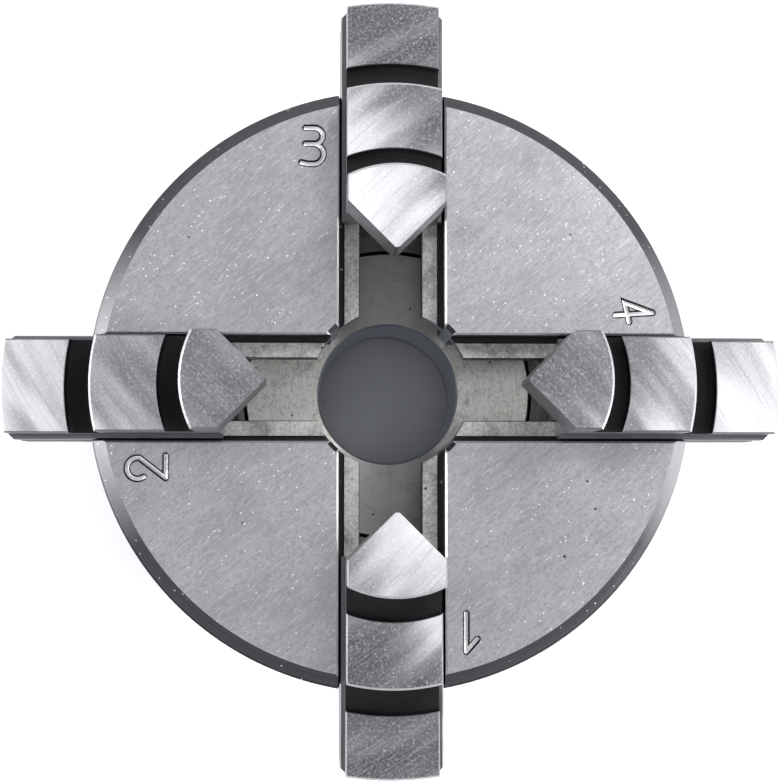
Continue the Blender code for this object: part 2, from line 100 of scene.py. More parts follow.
# Scroll: spiral groove in front, crown teeth behind.
SCROLL_PITCH = 6.0 * MM
SCROLL_BORE_RADIUS = 31.5 * MM
SCROLL_RADIUS = 47.1 * MM
SCROLL_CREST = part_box("scroll_disc")[1].z
GROOVE_FLOOR = 34.2 * MM
GROOVE_WIDTH = 3.6 * MM
GROOVE_START = 31.3 * MM
SCROLL_WEB_REAR = 25.2 * MM
CROWN_INNER_RADIUS = 37.3 * MM
CROWN_TEETH = 56
CROWN_TIP_LAND = 1.2 * MM
CROWN_ROOT_LAND = 2.7 * MM

# Pinions: bevel teeth inside, a journal in the body wall, a square key socket outside.
PINION_TEETH = 9
PINION_AXIS_Z = 17.5 * MM
PINION_ANGLES = (45.0, 135.0, 225.0, 315.0)
GEAR_OUTER = 46.0 * MM
GEAR_ENDS = (38.0 * MM, 47.5 * MM)
GEAR_PITCH_RADIUS = GEAR_OUTER * PINION_TEETH / CROWN_TEETH
ADDENDUM = 0.95 * MM
DEDENDUM = 1.35 * MM
JOURNAL_RADIUS = 8.7 * MM
JOURNAL_END = 61.8 * MM
JOURNAL_CHAMFER = 0.5 * MM
JOURNAL_GROOVE = (52.2 * MM, 56.8 * MM)
JOURNAL_GROOVE_RADIUS = 7.0 * MM
PINION_BORE_RADIUS = 9.0 * MM
KEY_SQUARE = 8.0 * MM
KEY_DEPTH = 11.0 * MM
KEY_LEAD = 0.5 * MM

# Rear holes and their screws.
RETAINER_CIRCLE = 54.5 * MM
RETAINER_RADIUS = 2.2 * MM
RETAINER_TIP_RADIUS = 1.6 * MM
RETAINER_REAR = 0.8 * MM
RETAINER_SHOULDER = 7.0 * MM
RETAINER_LEAD = 0.4 * MM
RETAINER_TOP = 10.1 * MM
RETAINER_KEY = 2.0 * MM
MOUNTING_CIRCLE = 54.0 * MM
MOUNTING_HOLE_RADIUS = 3.4 * MM
MOUNTING_HOLE_LEAD = 0.8 * MM
MOUNTING_HOLE_DEPTH = 16.0 * MM
MOUNTING_ANGLES = (90.0, 210.0, 330.0)
COVER_SCREW_CIRCLE = 23.0 * MM
COVER_SCREW_RADIUS = 2.5 * MM
COVER_SCREW_HEAD_RADIUS = 4.9 * MM
COVER_SCREW_TOP = 18.0 * MM
COVER_SCREW_LEAD = 0.6 * MM
COVER_SCREW_KEY = 3.0 * MM
COVER_SCREW_SINK = 0.1 * MM
COVER_SCREW_ANGLES = (0.0, 90.0, 180.0, 270.0)
KEY_SOCKET_DEPTH = 2.0 * MM

# Rear cover: a plate with a boss that carries the scroll.
COVER_RADIUS = 47.1 * MM
COVER_FRONT = 8.3 * MM
COVER_EDGE = 0.5 * MM
COVER_BOSS_RADII = (31.5 * MM, 35.8 * MM)
COVER_BOSS_TOP = 24.9 * MM

# Jaws. Lengths run outwards from the tip, which stands at JAW_TIP from the chuck's axis.
JAW_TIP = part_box("jaw_4")[0].x
JAW_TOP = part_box("jaw_4")[1].z
JAW_ANGLES = {"jaw_1": 270.0, "jaw_2": 180.0, "jaw_3": 90.0, "jaw_4": 0.0}
JAW_HALF = 9.45 * MM
JAW_FLANGE_HALF = SLOT_HALF - GAP
JAW_FLANGE_TOP = 56.0 * MM
JAW_FLANGE_EDGE = 0.3 * MM
JAW_PLAY = 0.4 * MM
JAW_NECK_HALF = RIB_GAP_HALF - JAW_PLAY
JAW_GROOVE_TOP = RIB_TOP + JAW_PLAY
JAW_GROOVE_BOTTOM = RIB_BOTTOM - JAW_PLAY
JAW_UNDERSIDE = 38.8 * MM
JAW_BEAK_BOTTOM = 70.0 * MM
JAW_BEAK_LENGTH = 9.3 * MM
JAW_TIP_FLAT = 0.8 * MM
JAW_TIP_TO_GRIND_AXIS = 5.0 * MM
JAW_EDGE = 0.3 * MM
JAW_STEP_EDGE = 0.45 * MM
JAW_END_CORNER = 0.9 * MM
STEP_RADII = (21.2 * MM, 39.7 * MM, 58.6 * MM)
STEP_STARTS = (26.5 * MM, 45.8 * MM)
STEP_TOPS = (71.6 * MM, 62.2 * MM)
RELIEF_DEPTH = 3.0 * MM
RELIEF_ROUND = 1.0 * MM
TOOTH_TIP = 34.6 * MM
TOOTH_THICKNESS = 2.4 * MM
TOOTH_HALF_WIDTH = 9.0 * MM
TOOTH_OUTER_ARC = 33.0 * MM
TOOTH_INNER_ARC = 46.0 * MM
JAW_LENGTH = STEP_RADII[2] - JAW_TIP_TO_GRIND_AXIS

# Slot numbers on the face: their middle, seen from the slot's own line, and the engraving tool.
NUMBER_ALONG = 49.8 * MM
NUMBER_ASIDE = -16.2 * MM
STROKE_RADIUS = 0.75 * MM
STROKE_LIFT = 0.12 * MM
STROKE_END_LEANS = (80.0, 55.0, 28.0)

# Painted sheen: each jaw's top grows brighter along a direction in plan, between two distances
# from its tip, in degrees and mm.
JAW_SHEEN = {
    "jaw_1": (143.0, -27.0, 0.0),
    "jaw_2": (11.0, -4.0, 76.0),
    "jaw_3": (127.0, -24.0, 6.0),
    "jaw_4": (-41.0, -16.0, 62.0),
}

# The view: the lens's place, where it looks, and its length on a 36 mm wide sensor.
CAMERA_PLACE = Vector((-14.05 * MM, -21.8 * MM, 405.5 * MM))
CAMERA_AIM = Vector((0.0, -0.9 * MM, BODY_HEIGHT))
CAMERA_LENS = 78.3
SENSOR_WIDTH = 36.0
FLOOR_SIZE = 8.0
FLOOR_DROP = 0.2 * MM
# Painted light: how strongly the floor glows, and the distances from the axis over which the glow
# rises.
FLOOR_GLOW = 0.2
FLOOR_GLOW_RADII = (55.0 * MM, 85.0 * MM)

# Light: the sky's height and colour, low and high, and each softbox's place, size and power.
SKY_LOW = (0.1, (0.62, 0.62, 0.63, 1.0))
SKY_HIGH = (0.8, (0.47, 0.48, 0.51, 1.0))
SOFTBOXES = {
    "left_softbox": ((-1.1, 0.05, 0.55), 0.7, 0.5, 17.0),
    "right_softbox": ((1.1, -0.35, 0.55), 0.7, 0.5, 17.0),
    "upper_softbox": ((0.55, 0.65, 1.0), 0.5, 0.5, 6.0),
}

# A prism's outline lies across its run, which this turns to +X.
ALONG_X = Matrix(((0, 0, 1), (1, 0, 0), (0, 1, 0))).to_4x4()


# Shapes.


def around_z(degrees):
    return Matrix.Rotation(math.radians(degrees), 4, "Z")


def at_polar(radius, degrees):
    """A place on a circle about the chuck's axis, turned to face outwards."""
    return around_z(degrees) @ Matrix.Translation((radius, 0.0, 0.0))


def radial_axes(degrees):
    """Local Z points outwards along a pinion's axis, and local X points to the front."""
    outward = around_z(degrees) @ Vector((1.0, 0.0, 0.0))
    axes = Matrix((UP, outward.cross(UP), outward)).transposed().to_4x4()
    return Matrix.Translation((0.0, 0.0, PINION_AXIS_Z)) @ axes


def add_rings(bm, rings, place=AT_ORIGIN, looped=False):
    """Faces between neighbouring closed rings of points, with the ends capped unless looped."""
    made = [[bm.verts.new(place @ point) for point in ring] for ring in rings]
    pairs = list(zip(made, made[1:]))
    if looped:
        pairs.append((made[-1], made[0]))
    for low, high in pairs:
        for index in range(len(low)):
            after = (index + 1) % len(low)
            bm.faces.new((low[index], low[after], high[after], high[index]))
    if not looped:
        bm.faces.new(made[0])
        bm.faces.new(made[-1])


def circle_ring(radius, z, steps):
    angles = (TURN * index / steps for index in range(steps))
    return [Vector((radius * math.cos(a), radius * math.sin(a), z)) for a in angles]


def add_turned(bm, profile, steps, place=AT_ORIGIN, looped=False):
    """Turns (radius, z) points about local Z. A looped profile closes on itself as a ring."""
    add_rings(bm, [circle_ring(radius, z, steps) for radius, z in profile], place, looped)


def add_prism(bm, outline, low, high, place=AT_ORIGIN):
    """Runs an (x, y) outline along local Z."""
    add_rings(bm, [[Vector((x, y, z)) for x, y in outline] for z in (low, high)], place)


def both_sides(right):
    """Half of a cross-section and then its mirror image."""
    return right + [(-y, z) for y, z in reversed(right)]


def mesh_of(bm, name):
    bmesh.ops.recalc_face_normals(bm, faces=bm.faces)
    mesh = bpy.data.meshes.new(name)
    bm.to_mesh(mesh)
    bm.free()
    return mesh


def rings_mesh(name, rings):
    bm = bmesh.new()
    add_rings(bm, rings)
    return mesh_of(bm, name)


def turned_mesh(name, profile, steps, place=AT_ORIGIN, looped=True):
    bm = bmesh.new()
    add_turned(bm, profile, steps, place, looped)
    return mesh_of(bm, name)


def prism_mesh(name, outline, low, high, place=AT_ORIGIN):
    bm = bmesh.new()
    add_prism(bm, outline, low, high, place)
    return mesh_of(bm, name)


def add_object(name, data):
    made = bpy.data.objects.new(name, data)
    bpy.context.scene.collection.objects.link(made)
    return made


def carved(base, cutters, joined=()):
    """The base mesh with the cutters taken away and then the joined shapes added."""
    target = add_object("carving", base)
    scratch = [target]
    jobs = [("DIFFERENCE", mesh) for mesh in cutters] + [("UNION", mesh) for mesh in joined]
    for operation, mesh in jobs:
        helper = add_object("carver", mesh)
        scratch.append(helper)
        modifier = target.modifiers.new(mesh.name, "BOOLEAN")
        modifier.operation = operation
        modifier.object = helper
    graph = bpy.context.evaluated_depsgraph_get()
    result = bpy.data.meshes.new_from_object(target.evaluated_get(graph))
    for obj in scratch:
        bpy.data.objects.remove(obj)
    return result


def paint(mesh, zone_of, finishes):
    """Gives each face the finish that zone_of(centre, normal) names."""
    names = list(finishes)
    mesh.materials.clear()
    for finish in finishes.values():
        mesh.materials.append(finish.material)
    for face in mesh.polygons:
        face.material_index = names.index(zone_of(face.center, face.normal))


def add_piece(node, mesh, place, body, zone_of, finishes):
    """A finished piece that stands for one node of the frame."""
    mesh.shade_smooth()
    mesh.set_sharp_from_angle(angle=math.radians(SHARP_ANGLE))
    paint(mesh, zone_of, finishes)
    piece = add_object(f"{node}_detail", mesh)
    piece.matrix_world = place
    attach(piece, body)
    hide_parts(node)


# Body.


def slot_outline():
    rise = SLOT_EDGE + OVERSHOOT
    right = [
        (SLOT_HALF + rise, BODY_HEIGHT + OVERSHOOT),
        (SLOT_HALF, BODY_HEIGHT - SLOT_EDGE),
        (SLOT_HALF, RIB_TOP - RIB_RELIEF),
        (SLOT_HALF - RIB_RELIEF, RIB_TOP - RIB_RELIEF),
        (SLOT_HALF - RIB_RELIEF, RIB_TOP - EDGE_BREAK),
        (SLOT_HALF - RIB_RELIEF - EDGE_BREAK, RIB_TOP),
        (RIB_GAP_HALF + EDGE_BREAK, RIB_TOP),
        (RIB_GAP_HALF, RIB_TOP - EDGE_BREAK),
        (RIB_GAP_HALF, RIB_BOTTOM),
        (SLOT_HALF, RIB_BOTTOM),
        (SLOT_HALF, HUB_TOP),
    ]
    return both_sides(right)


def slot_cutter(degrees):
    reach = BODY_RADIUS + 5.0 * OVERSHOOT
    return prism_mesh("slot", slot_outline(), -reach, reach, around_z(degrees) @ ALONG_X)


def add_holes(bm, profile, circle, angles):
    """Turns one profile round each of several upright axes on a circle."""
    for degrees in angles:
        add_turned(bm, profile, HOLE_STEPS, at_polar(circle, degrees))


def pinion_bore_cutter():
    bm = bmesh.new()
    mouth = BODY_RADIUS - OVERSHOOT
    profile = [
        (PINION_BORE_RADIUS, REGISTER_RADIUS - 2.0 * OVERSHOOT),
        (PINION_BORE_RADIUS, mouth),
        (PINION_BORE_RADIUS + 2.0 * OVERSHOOT, mouth + 2.0 * OVERSHOOT),
    ]
    for degrees in PINION_ANGLES:
        add_turned(bm, profile, 2 * HOLE_STEPS, radial_axes(degrees))
    return mesh_of(bm, "pinion_bores")


def rear_hole_cutter():
    """Retainer holes up into the pinion bores, blind mounting holes, and cover screw holes."""
    bm = bmesh.new()
    retainer = RETAINER_RADIUS + GAP
    profile = [(retainer, -OVERSHOOT), (retainer, PINION_AXIS_Z - JOURNAL_GROOVE_RADIUS)]
    add_holes(bm, profile, RETAINER_CIRCLE, PINION_ANGLES)
    profile = [
        (MOUNTING_HOLE_RADIUS + MOUNTING_HOLE_LEAD + OVERSHOOT, -OVERSHOOT),
        (MOUNTING_HOLE_RADIUS, MOUNTING_HOLE_LEAD),
        (MOUNTING_HOLE_RADIUS, MOUNTING_HOLE_DEPTH),
    ]
    add_holes(bm, profile, MOUNTING_CIRCLE, MOUNTING_ANGLES)
    screw = COVER_SCREW_RADIUS + GAP
    profile = [(screw, HUB_REAR - OVERSHOOT), (screw, COVER_SCREW_TOP + 2.0 * OVERSHOOT)]
    add_holes(bm, profile, COVER_SCREW_CIRCLE, COVER_SCREW_ANGLES)
    return mesh_of(bm, "rear_holes")


def arc(centre, radius, start, end, steps=ARC_STEPS):
    """Points along an arc, in degrees, anticlockwise when end is the larger."""
    angles = [math.radians(start + (end - start) * index / steps) for index in range(steps + 1)]
    return [
        (centre[0] + radius * math.cos(angle), centre[1] + radius * math.sin(angle))
        for angle in angles
    ]


def number_strokes():
    """The strokes of 1 to 4 in mm, each number round its own middle with its top at +Y."""
    one = [
        [(1.1, -3.85), (1.1, 3.85)],
        [(1.1, 3.85), (-1.15, 1.3)],
    ]
    two = [
        [(2.25, -3.85), (-2.25, -3.85)],
        [(-2.25, -3.85)] + arc((-0.3, 1.83), 2.15, -10.0, 215.0),
    ]
    three = [
        [(-1.6, 3.75)] + arc((0.25, 2.1), 1.65, 90.0, -90.0) + [(-1.6, 0.45)],
        arc((0.0, -1.65), 2.1, 90.0, -90.0) + [(-1.1, -3.75), (-2.4, -3.45)],
    ]
    four = [
        [(0.6, 3.95), (-1.5, -1.75), (2.5, -0.9)],
        [(0.6, 3.95), (1.1, -3.7)],
    ]
    return {"jaw_1": one, "jaw_2": two, "jaw_3": three, "jaw_4": four}


def stroke_rings(points):
    """Rings of a round tool's sweep along a flat path, with rounded ends."""
    points = [Vector((x * MM, y * MM, 0.0)) for x, y in points]
    ways = [(b - a).normalized() for a, b in zip(points, points[1:])]
    rings = []

    def add_ring(centre, side, radius):
        rings.append([
            centre + side * radius * math.cos(a) + UP * radius * math.sin(a)
            for a in (TURN * index / STROKE_STEPS for index in range(STROKE_STEPS))
        ])

    ends = [math.radians(degrees) for degrees in STROKE_END_LEANS]
    for lean in ends:
        back = ways[0] * STROKE_RADIUS * math.sin(lean)
        add_ring(points[0] - back, ways[0].cross(UP), STROKE_RADIUS * math.cos(lean))
    befores = [ways[0]] + ways
    afters = ways + [ways[-1]]
    for point, before, after in zip(points, befores, afters):
        side = (before.cross(UP) + after.cross(UP)).normalized()
        add_ring(point, side / side.dot(before.cross(UP)), STROKE_RADIUS)
    for lean in reversed(ends):
        ahead = ways[-1] * STROKE_RADIUS * math.sin(lean)
        add_ring(points[-1] + ahead, ways[-1].cross(UP), STROKE_RADIUS * math.cos(lean))
    return rings


def number_cutters():
    """One cutter for the first stroke of every number, and one for the second."""
    cutters = []
    for turn in range(2):
        bm = bmesh.new()
        for jaw, strokes in number_strokes().items():
            height = BODY_HEIGHT + STROKE_LIFT
            local = Matrix.Translation((NUMBER_ALONG, -NUMBER_ASIDE, height))
            place = around_z(JAW_ANGLES[jaw]) @ local @ around_z(-90.0)
            add_rings(bm, stroke_rings(strokes[turn]), place)
        cutters.append(mesh_of(bm, f"numbers_{turn}"))
    return cutters


def body_profile():
    land_start = BODY_HEIGHT - FRONT_LAND_LENGTH
    return [
        (BORE_RADIUS, HUB_REAR),
        (HUB_RADIUS, HUB_REAR),
        (HUB_RADIUS, HUB_TOP - HUB_CHAMFER),
        (HUB_RADIUS, CAVITY_ROOF),
        (REGISTER_RADIUS, CAVITY_ROOF),
        (REGISTER_RADIUS, REGISTER_CHAMFER),
        (REGISTER_RADIUS + REGISTER_CHAMFER, 0.0),
        (BODY_RADIUS - REAR_CHAMFER, 0.0),
        (BODY_RADIUS, REAR_CHAMFER),
        (BODY_RADIUS, land_start - EDGE_BREAK),
        (BODY_RADIUS - EDGE_BREAK, land_start),
        (FRONT_LAND_RADIUS, land_start),
        (FRONT_LAND_RADIUS, BODY_HEIGHT - FRONT_CHAMFER),
        (FRONT_LAND_RADIUS - FRONT_CHAMFER, BODY_HEIGHT),
        (FRONT_BORE_RADIUS + FRONT_BORE_CHAMFER, BODY_HEIGHT),
        (FRONT_BORE_RADIUS, BODY_HEIGHT - FRONT_BORE_CHAMFER),
        (FRONT_BORE_RADIUS, HUB_TOP),
        (BORE_RADIUS + HUB_CHAMFER, HUB_TOP),
        (BORE_RADIUS, HUB_TOP - HUB_CHAMFER),
    ]


def hub_edge_cutter():
    """Breaks the hub's outer edge where the slots lay it open."""
    reach = OVERSHOOT
    profile = [
        (HUB_RADIUS - HUB_CHAMFER - reach, HUB_TOP + reach),
        (HUB_RADIUS + reach, HUB_TOP - HUB_CHAMFER - reach),
        (HUB_RADIUS + reach, HUB_TOP + reach),
    ]
    return turned_mesh("hub_edge", profile, BODY_STEPS)


def body_zone(centre, normal):
    radius = math.hypot(centre.x, centre.y)
    aside = min(abs(centre.x), abs(centre.y))
    flat_up = normal.z > 0.99
    if flat_up and centre.z > BODY_HEIGHT - HAIR:
        return "face"
    if centre.z > BODY_HEIGHT - STROKE_RADIUS and aside > SLOT_HALF + OVERSHOOT:
        if FRONT_BORE_RADIUS + OVERSHOOT < radius < FRONT_LAND_RADIUS - FRONT_CHAMFER - HAIR:
            # The strokes' sides take painted shade.
            return "engraved_floor" if normal.z > 0.9 else "engraved_wall_shade"
    if radius > FRONT_LAND_RADIUS - FRONT_CHAMFER - HAIR and normal.z > 0.5:
        return "chamfer"
    if radius > FRONT_LAND_RADIUS - OVERSHOOT:
        return "side"
    if flat_up and abs(centre.z - HUB_TOP) < HAIR:
        return "hub"
    if flat_up and abs(centre.z - RIB_TOP) < HAIR:
        return "rib"
    if radius < FRONT_BORE_RADIUS + HAIR:
        return "bore"
    if aside < SLOT_HALF + OVERSHOOT and centre.z > BODY_HEIGHT - SLOT_EDGE - HAIR:
        return "edge"
    if centre.z > HUB_TOP - OVERSHOOT:
        return "slot"
    if normal.z < -0.5 and centre.z < REGISTER_DEPTH:
        return "rear"
    return "inside"


def make_body(finishes):
    base = turned_mesh("body", body_profile(), BODY_STEPS)
    cutters = [slot_cutter(0.0), slot_cutter(90.0), hub_edge_cutter()]
    cutters += [pinion_bore_cutter(), rear_hole_cutter()] + number_cutters()
    mesh = carved(base, cutters)
    add_piece("chuck_body", mesh, AT_ORIGIN, "body", body_zone, finishes)


# Scroll and cover.


def spiral_groove_cutter():
    """A square-sided groove whose radius grows by one pitch for each turn."""
    half = 0.5 * GROOVE_WIDTH
    rings = []
    for index in range(SPIRAL_TURNS * SPIRAL_STEPS):
        turns = (index + 0.5) / SPIRAL_STEPS
        angle = TURN * turns
        radius = GROOVE_START + SCROLL_PITCH * (turns - 1.0)
        outward = Vector((math.cos(angle), math.sin(angle), 0.0))
        low = UP * GROOVE_FLOOR
        high = UP * (SCROLL_CREST + OVERSHOOT)
        inner = outward * (radius - half)
        outer = outward * (radius + half)
        rings.append([inner + low, outer + low, outer + high, inner + high])
    return rings_mesh("spiral_groove", rings)


def crown_space_cutter():
    """The spaces between the crown teeth, which all narrow towards the chuck's axis."""
    pitch = TURN * GEAR_OUTER / CROWN_TEETH
    tip_half = 0.5 * (pitch - CROWN_TIP_LAND)
    root_half = 0.5 * (pitch - CROWN_ROOT_LAND)
    tip = GEAR_PITCH_RADIUS - ADDENDUM
    root = GEAR_PITCH_RADIUS + DEDENDUM
    mouth_half = tip_half + (tip_half - root_half) / (root - tip) * OVERSHOOT
    outline = [
        (-mouth_half, tip - OVERSHOOT),
        (mouth_half, tip - OVERSHOOT),
        (root_half, root),
        (-root_half, root),
    ]
    bm = bmesh.new()
    for tooth in range(CROWN_TEETH):
        place = around_z(360.0 * tooth / CROWN_TEETH)
        rings = []
        for radius in (CROWN_INNER_RADIUS - 0.5 * OVERSHOOT, SCROLL_RADIUS + OVERSHOOT):
            scale = radius / GEAR_OUTER
            rings.append([
                Vector((radius, y * scale, PINION_AXIS_Z + z * scale)) for y, z in outline
            ])
        add_rings(bm, rings, place)
    return mesh_of(bm, "crown_spaces")


def make_scroll(finishes):
    tip_slope = (GEAR_PITCH_RADIUS - ADDENDUM) / GEAR_OUTER
    profile = [
        (SCROLL_BORE_RADIUS, SCROLL_WEB_REAR),
        (CROWN_INNER_RADIUS, SCROLL_WEB_REAR),
        (CROWN_INNER_RADIUS, PINION_AXIS_Z + tip_slope * CROWN_INNER_RADIUS),
        (SCROLL_RADIUS, PINION_AXIS_Z + tip_slope * SCROLL_RADIUS),
        (SCROLL_RADIUS, SCROLL_CREST),
        (SCROLL_BORE_RADIUS, SCROLL_CREST),
    ]
    base = turned_mesh("scroll", profile, BODY_STEPS)
    mesh = carved(base, [spiral_groove_cutter(), crown_space_cutter()])
    add_piece("scroll_disc", mesh, AT_ORIGIN, "scroll", lambda *_: "scroll", finishes)


def countersunk_profile(clearance):
    """The screw's head and shank, or with a clearance the hole for it."""
    head = COVER_SCREW_HEAD_RADIUS + clearance
    shank = COVER_SCREW_RADIUS + clearance
    seat = REGISTER_DEPTH + COVER_SCREW_SINK
    return [(head, seat), (shank, seat + head - shank)]


def cover_hole_cutter():
    bm = bmesh.new()
    (head, seat), (shank, neck) = countersunk_profile(GAP)
    profile = [
        (head + OVERSHOOT, seat - OVERSHOOT),
        (shank, neck),
        (shank, COVER_FRONT + OVERSHOOT),
    ]
    add_holes(bm, profile, COVER_SCREW_CIRCLE, COVER_SCREW_ANGLES)
    return mesh_of(bm, "screw_holes")


def make_rear_cover(finishes):
    boss_inner, boss_outer = COVER_BOSS_RADII
    profile = [
        (BORE_RADIUS, REGISTER_DEPTH + HUB_CHAMFER),
        (BORE_RADIUS + HUB_CHAMFER, REGISTER_DEPTH),
        (COVER_RADIUS - COVER_EDGE, REGISTER_DEPTH),
        (COVER_RADIUS, REGISTER_DEPTH + COVER_EDGE),
        (COVER_RADIUS, COVER_FRONT),
        (boss_outer, COVER_FRONT),
        (boss_outer, COVER_BOSS_TOP),
        (boss_inner, COVER_BOSS_TOP),
        (boss_inner, COVER_FRONT),
        (BORE_RADIUS, COVER_FRONT),
    ]
    mesh = carved(turned_mesh("cover", profile, BODY_STEPS), [cover_hole_cutter()])
    add_piece("rear_cover", mesh, AT_ORIGIN, "body", lambda *_: "cover", finishes)


# Screws and pinions.


def hex_socket_cutter(across_flats, low, high):
    corner = across_flats / math.sqrt(3.0)
    return turned_mesh("hex_socket", [(corner, low), (corner, high)], 6, looped=False)


def add_screws(name, profile, key, rear, circle, angles, finishes):
    """Screws round a circle, each with a hexagon socket in its rear end."""
    for index, degrees in enumerate(angles):
        socket = hex_socket_cutter(key, rear - OVERSHOOT, rear + KEY_SOCKET_DEPTH)
        mesh = carved(turned_mesh(name, profile, HOLE_STEPS, looped=False), [socket])
        place = at_polar(circle, degrees)
        node = f"{name}_{index + 1}"
        add_piece(node, mesh, place, "body", lambda *_: "screw", finishes)


def make_cover_screws(finishes):
    (head, seat), neck = countersunk_profile(0.0)
    profile = [
        (head - EDGE_BREAK, seat),
        (head - EDGE_BREAK, seat + EDGE_BREAK),
        neck,
        (COVER_SCREW_RADIUS, COVER_SCREW_TOP - COVER_SCREW_LEAD),
        (COVER_SCREW_RADIUS - COVER_SCREW_LEAD, COVER_SCREW_TOP),
    ]
    circle, angles = COVER_SCREW_CIRCLE, COVER_SCREW_ANGLES
    add_screws("cover_screw", profile, COVER_SCREW_KEY, REGISTER_DEPTH, circle, angles, finishes)


def make_pinion_retainers(finishes):
    """Dog-point set screws: the plain tip stands in the pinion's groove."""
    profile = [
        (RETAINER_RADIUS - GAP, RETAINER_REAR),
        (RETAINER_RADIUS, RETAINER_REAR + GAP),
        (RETAINER_RADIUS, RETAINER_SHOULDER),
        (RETAINER_TIP_RADIUS, RETAINER_SHOULDER + RETAINER_LEAD),
        (RETAINER_TIP_RADIUS, RETAINER_TOP),
    ]
    circle, angles = RETAINER_CIRCLE, PINION_ANGLES
    add_screws("pinion_retainer", profile, RETAINER_KEY, RETAINER_REAR, circle, angles, finishes)


def gear_ring(scale, z):
    """Teeth with rounded flanks: the first tooth points along X."""
    tip = GEAR_PITCH_RADIUS + ADDENDUM
    root = GEAR_PITCH_RADIUS - DEDENDUM
    ring = []
    steps = PINION_TEETH * POINTS_PER_TOOTH
    for index in range(steps):
        angle = TURN * index / steps
        wave = 0.5 + 0.9 * math.cos(PINION_TEETH * angle)
        rise = min(1.0, max(0.0, wave))
        radius = scale * (root + (tip - root) * rise)
        ring.append(Vector((radius * math.cos(angle), radius * math.sin(angle), z)))
    return ring


def pinion_rings():
    gear_start, gear_end = GEAR_ENDS
    groove_start, groove_end = JOURNAL_GROOVE
    steps = PINION_TEETH * POINTS_PER_TOOTH
    journal = [
        (JOURNAL_RADIUS, gear_end),
        (JOURNAL_RADIUS, groove_start),
        (JOURNAL_GROOVE_RADIUS, groove_start),
        (JOURNAL_GROOVE_RADIUS, groove_end),
        (JOURNAL_RADIUS, groove_end),
        (JOURNAL_RADIUS, JOURNAL_END - JOURNAL_CHAMFER),
        (JOURNAL_RADIUS - JOURNAL_CHAMFER, JOURNAL_END),
    ]
    rings = [
        gear_ring(gear_start / GEAR_OUTER, gear_start),
        gear_ring(gear_end / GEAR_OUTER, gear_end),
    ]
    return rings + [circle_ring(radius, z, steps) for radius, z in journal]


def key_socket_cutter():
    """The square socket, with a lead-in at its mouth."""
    rings = []
    half = 0.5 * KEY_SQUARE
    lead = KEY_LEAD + OVERSHOOT
    levels = (
        (half, JOURNAL_END - KEY_DEPTH),
        (half, JOURNAL_END - KEY_LEAD),
        (half + lead, JOURNAL_END + OVERSHOOT),
    )
    for side, z in levels:
        corners = ((side, side), (-side, side), (-side, -side), (side, -side))
        rings.append([Vector((x, y, z)) for x, y in corners])
    return rings_mesh("key_socket", rings)


def pinion_zone(centre, normal):
    half = 0.5 * KEY_SQUARE + HAIR
    in_socket = abs(centre.x) < half and abs(centre.y) < half
    if in_socket and centre.z > JOURNAL_END - KEY_DEPTH - HAIR:
        return "socket"
    return "journal"


def make_pinions(finishes):
    for index, degrees in enumerate(PINION_ANGLES):
        mesh = carved(rings_mesh("pinion", pinion_rings()), [key_socket_cutter()])
        name = f"pinion_{index + 1}"
        add_piece(name, mesh, radial_axes(degrees), name, pinion_zone, finishes)


# Jaws.


def jaw_outline():
    """The jaw's cross-section, from the underside up past the guide grooves."""
    right = [
        (JAW_FLANGE_HALF - EDGE_BREAK, JAW_UNDERSIDE),
        (JAW_FLANGE_HALF, JAW_UNDERSIDE + EDGE_BREAK),
        (JAW_FLANGE_HALF, JAW_GROOVE_BOTTOM),
        (JAW_NECK_HALF, JAW_GROOVE_BOTTOM),
        (JAW_NECK_HALF, JAW_GROOVE_TOP),
        (JAW_FLANGE_HALF, JAW_GROOVE_TOP),
        (JAW_FLANGE_HALF, JAW_FLANGE_TOP - JAW_FLANGE_EDGE),
        (JAW_FLANGE_HALF - JAW_FLANGE_EDGE, JAW_FLANGE_TOP),
        (JAW_HALF, JAW_FLANGE_TOP),
        (JAW_HALF, JAW_TOP - JAW_EDGE),
        (JAW_HALF - JAW_EDGE, JAW_TOP),
    ]
    return both_sides(right)


def beak_cutter():
    """Leaves a right-angled V tip above the beak's underside."""
    flat = 0.5 * JAW_TIP_FLAT
    side = 2.0 * JAW_HALF
    outline = [
        (-side, -side - flat),
        (side, -side - flat),
        (0.0, -flat),
        (0.0, flat),
        (side, side + flat),
        (-side, side + flat),
    ]
    return prism_mesh("beak", outline, JAW_BEAK_BOTTOM - GAP, JAW_TOP + OVERSHOOT)


def underbeak_cutter():
    """Cuts the jaw back below its beak."""
    side = 2.0 * JAW_HALF
    outline = [(-side, -side), (JAW_BEAK_LENGTH, -side), (JAW_BEAK_LENGTH, side), (-side, side)]
    return prism_mesh("underbeak", outline, JAW_UNDERSIDE - OVERSHOOT, JAW_BEAK_BOTTOM)


def relief_floor(inner, outer, top):
    """A relief groove's floor from its inner wall to its outer wall, with rounded corners."""
    floor = top - RELIEF_DEPTH
    near = (inner + RELIEF_ROUND, floor + RELIEF_ROUND)
    far = (outer - RELIEF_ROUND, floor + RELIEF_ROUND)
    corner = arc(near, RELIEF_ROUND, 180.0, 270.0, CORNER_STEPS)
    return corner + arc(far, RELIEF_ROUND, 270.0, 360.0, CORNER_STEPS)


def step_top(start, end, top):
    """A step's flat, with its inner and outer edges broken."""
    return [
        (start, top - EDGE_BREAK),
        (start + EDGE_BREAK, top),
        (end - JAW_STEP_EDGE, top),
        (end, top - JAW_STEP_EDGE),
    ]


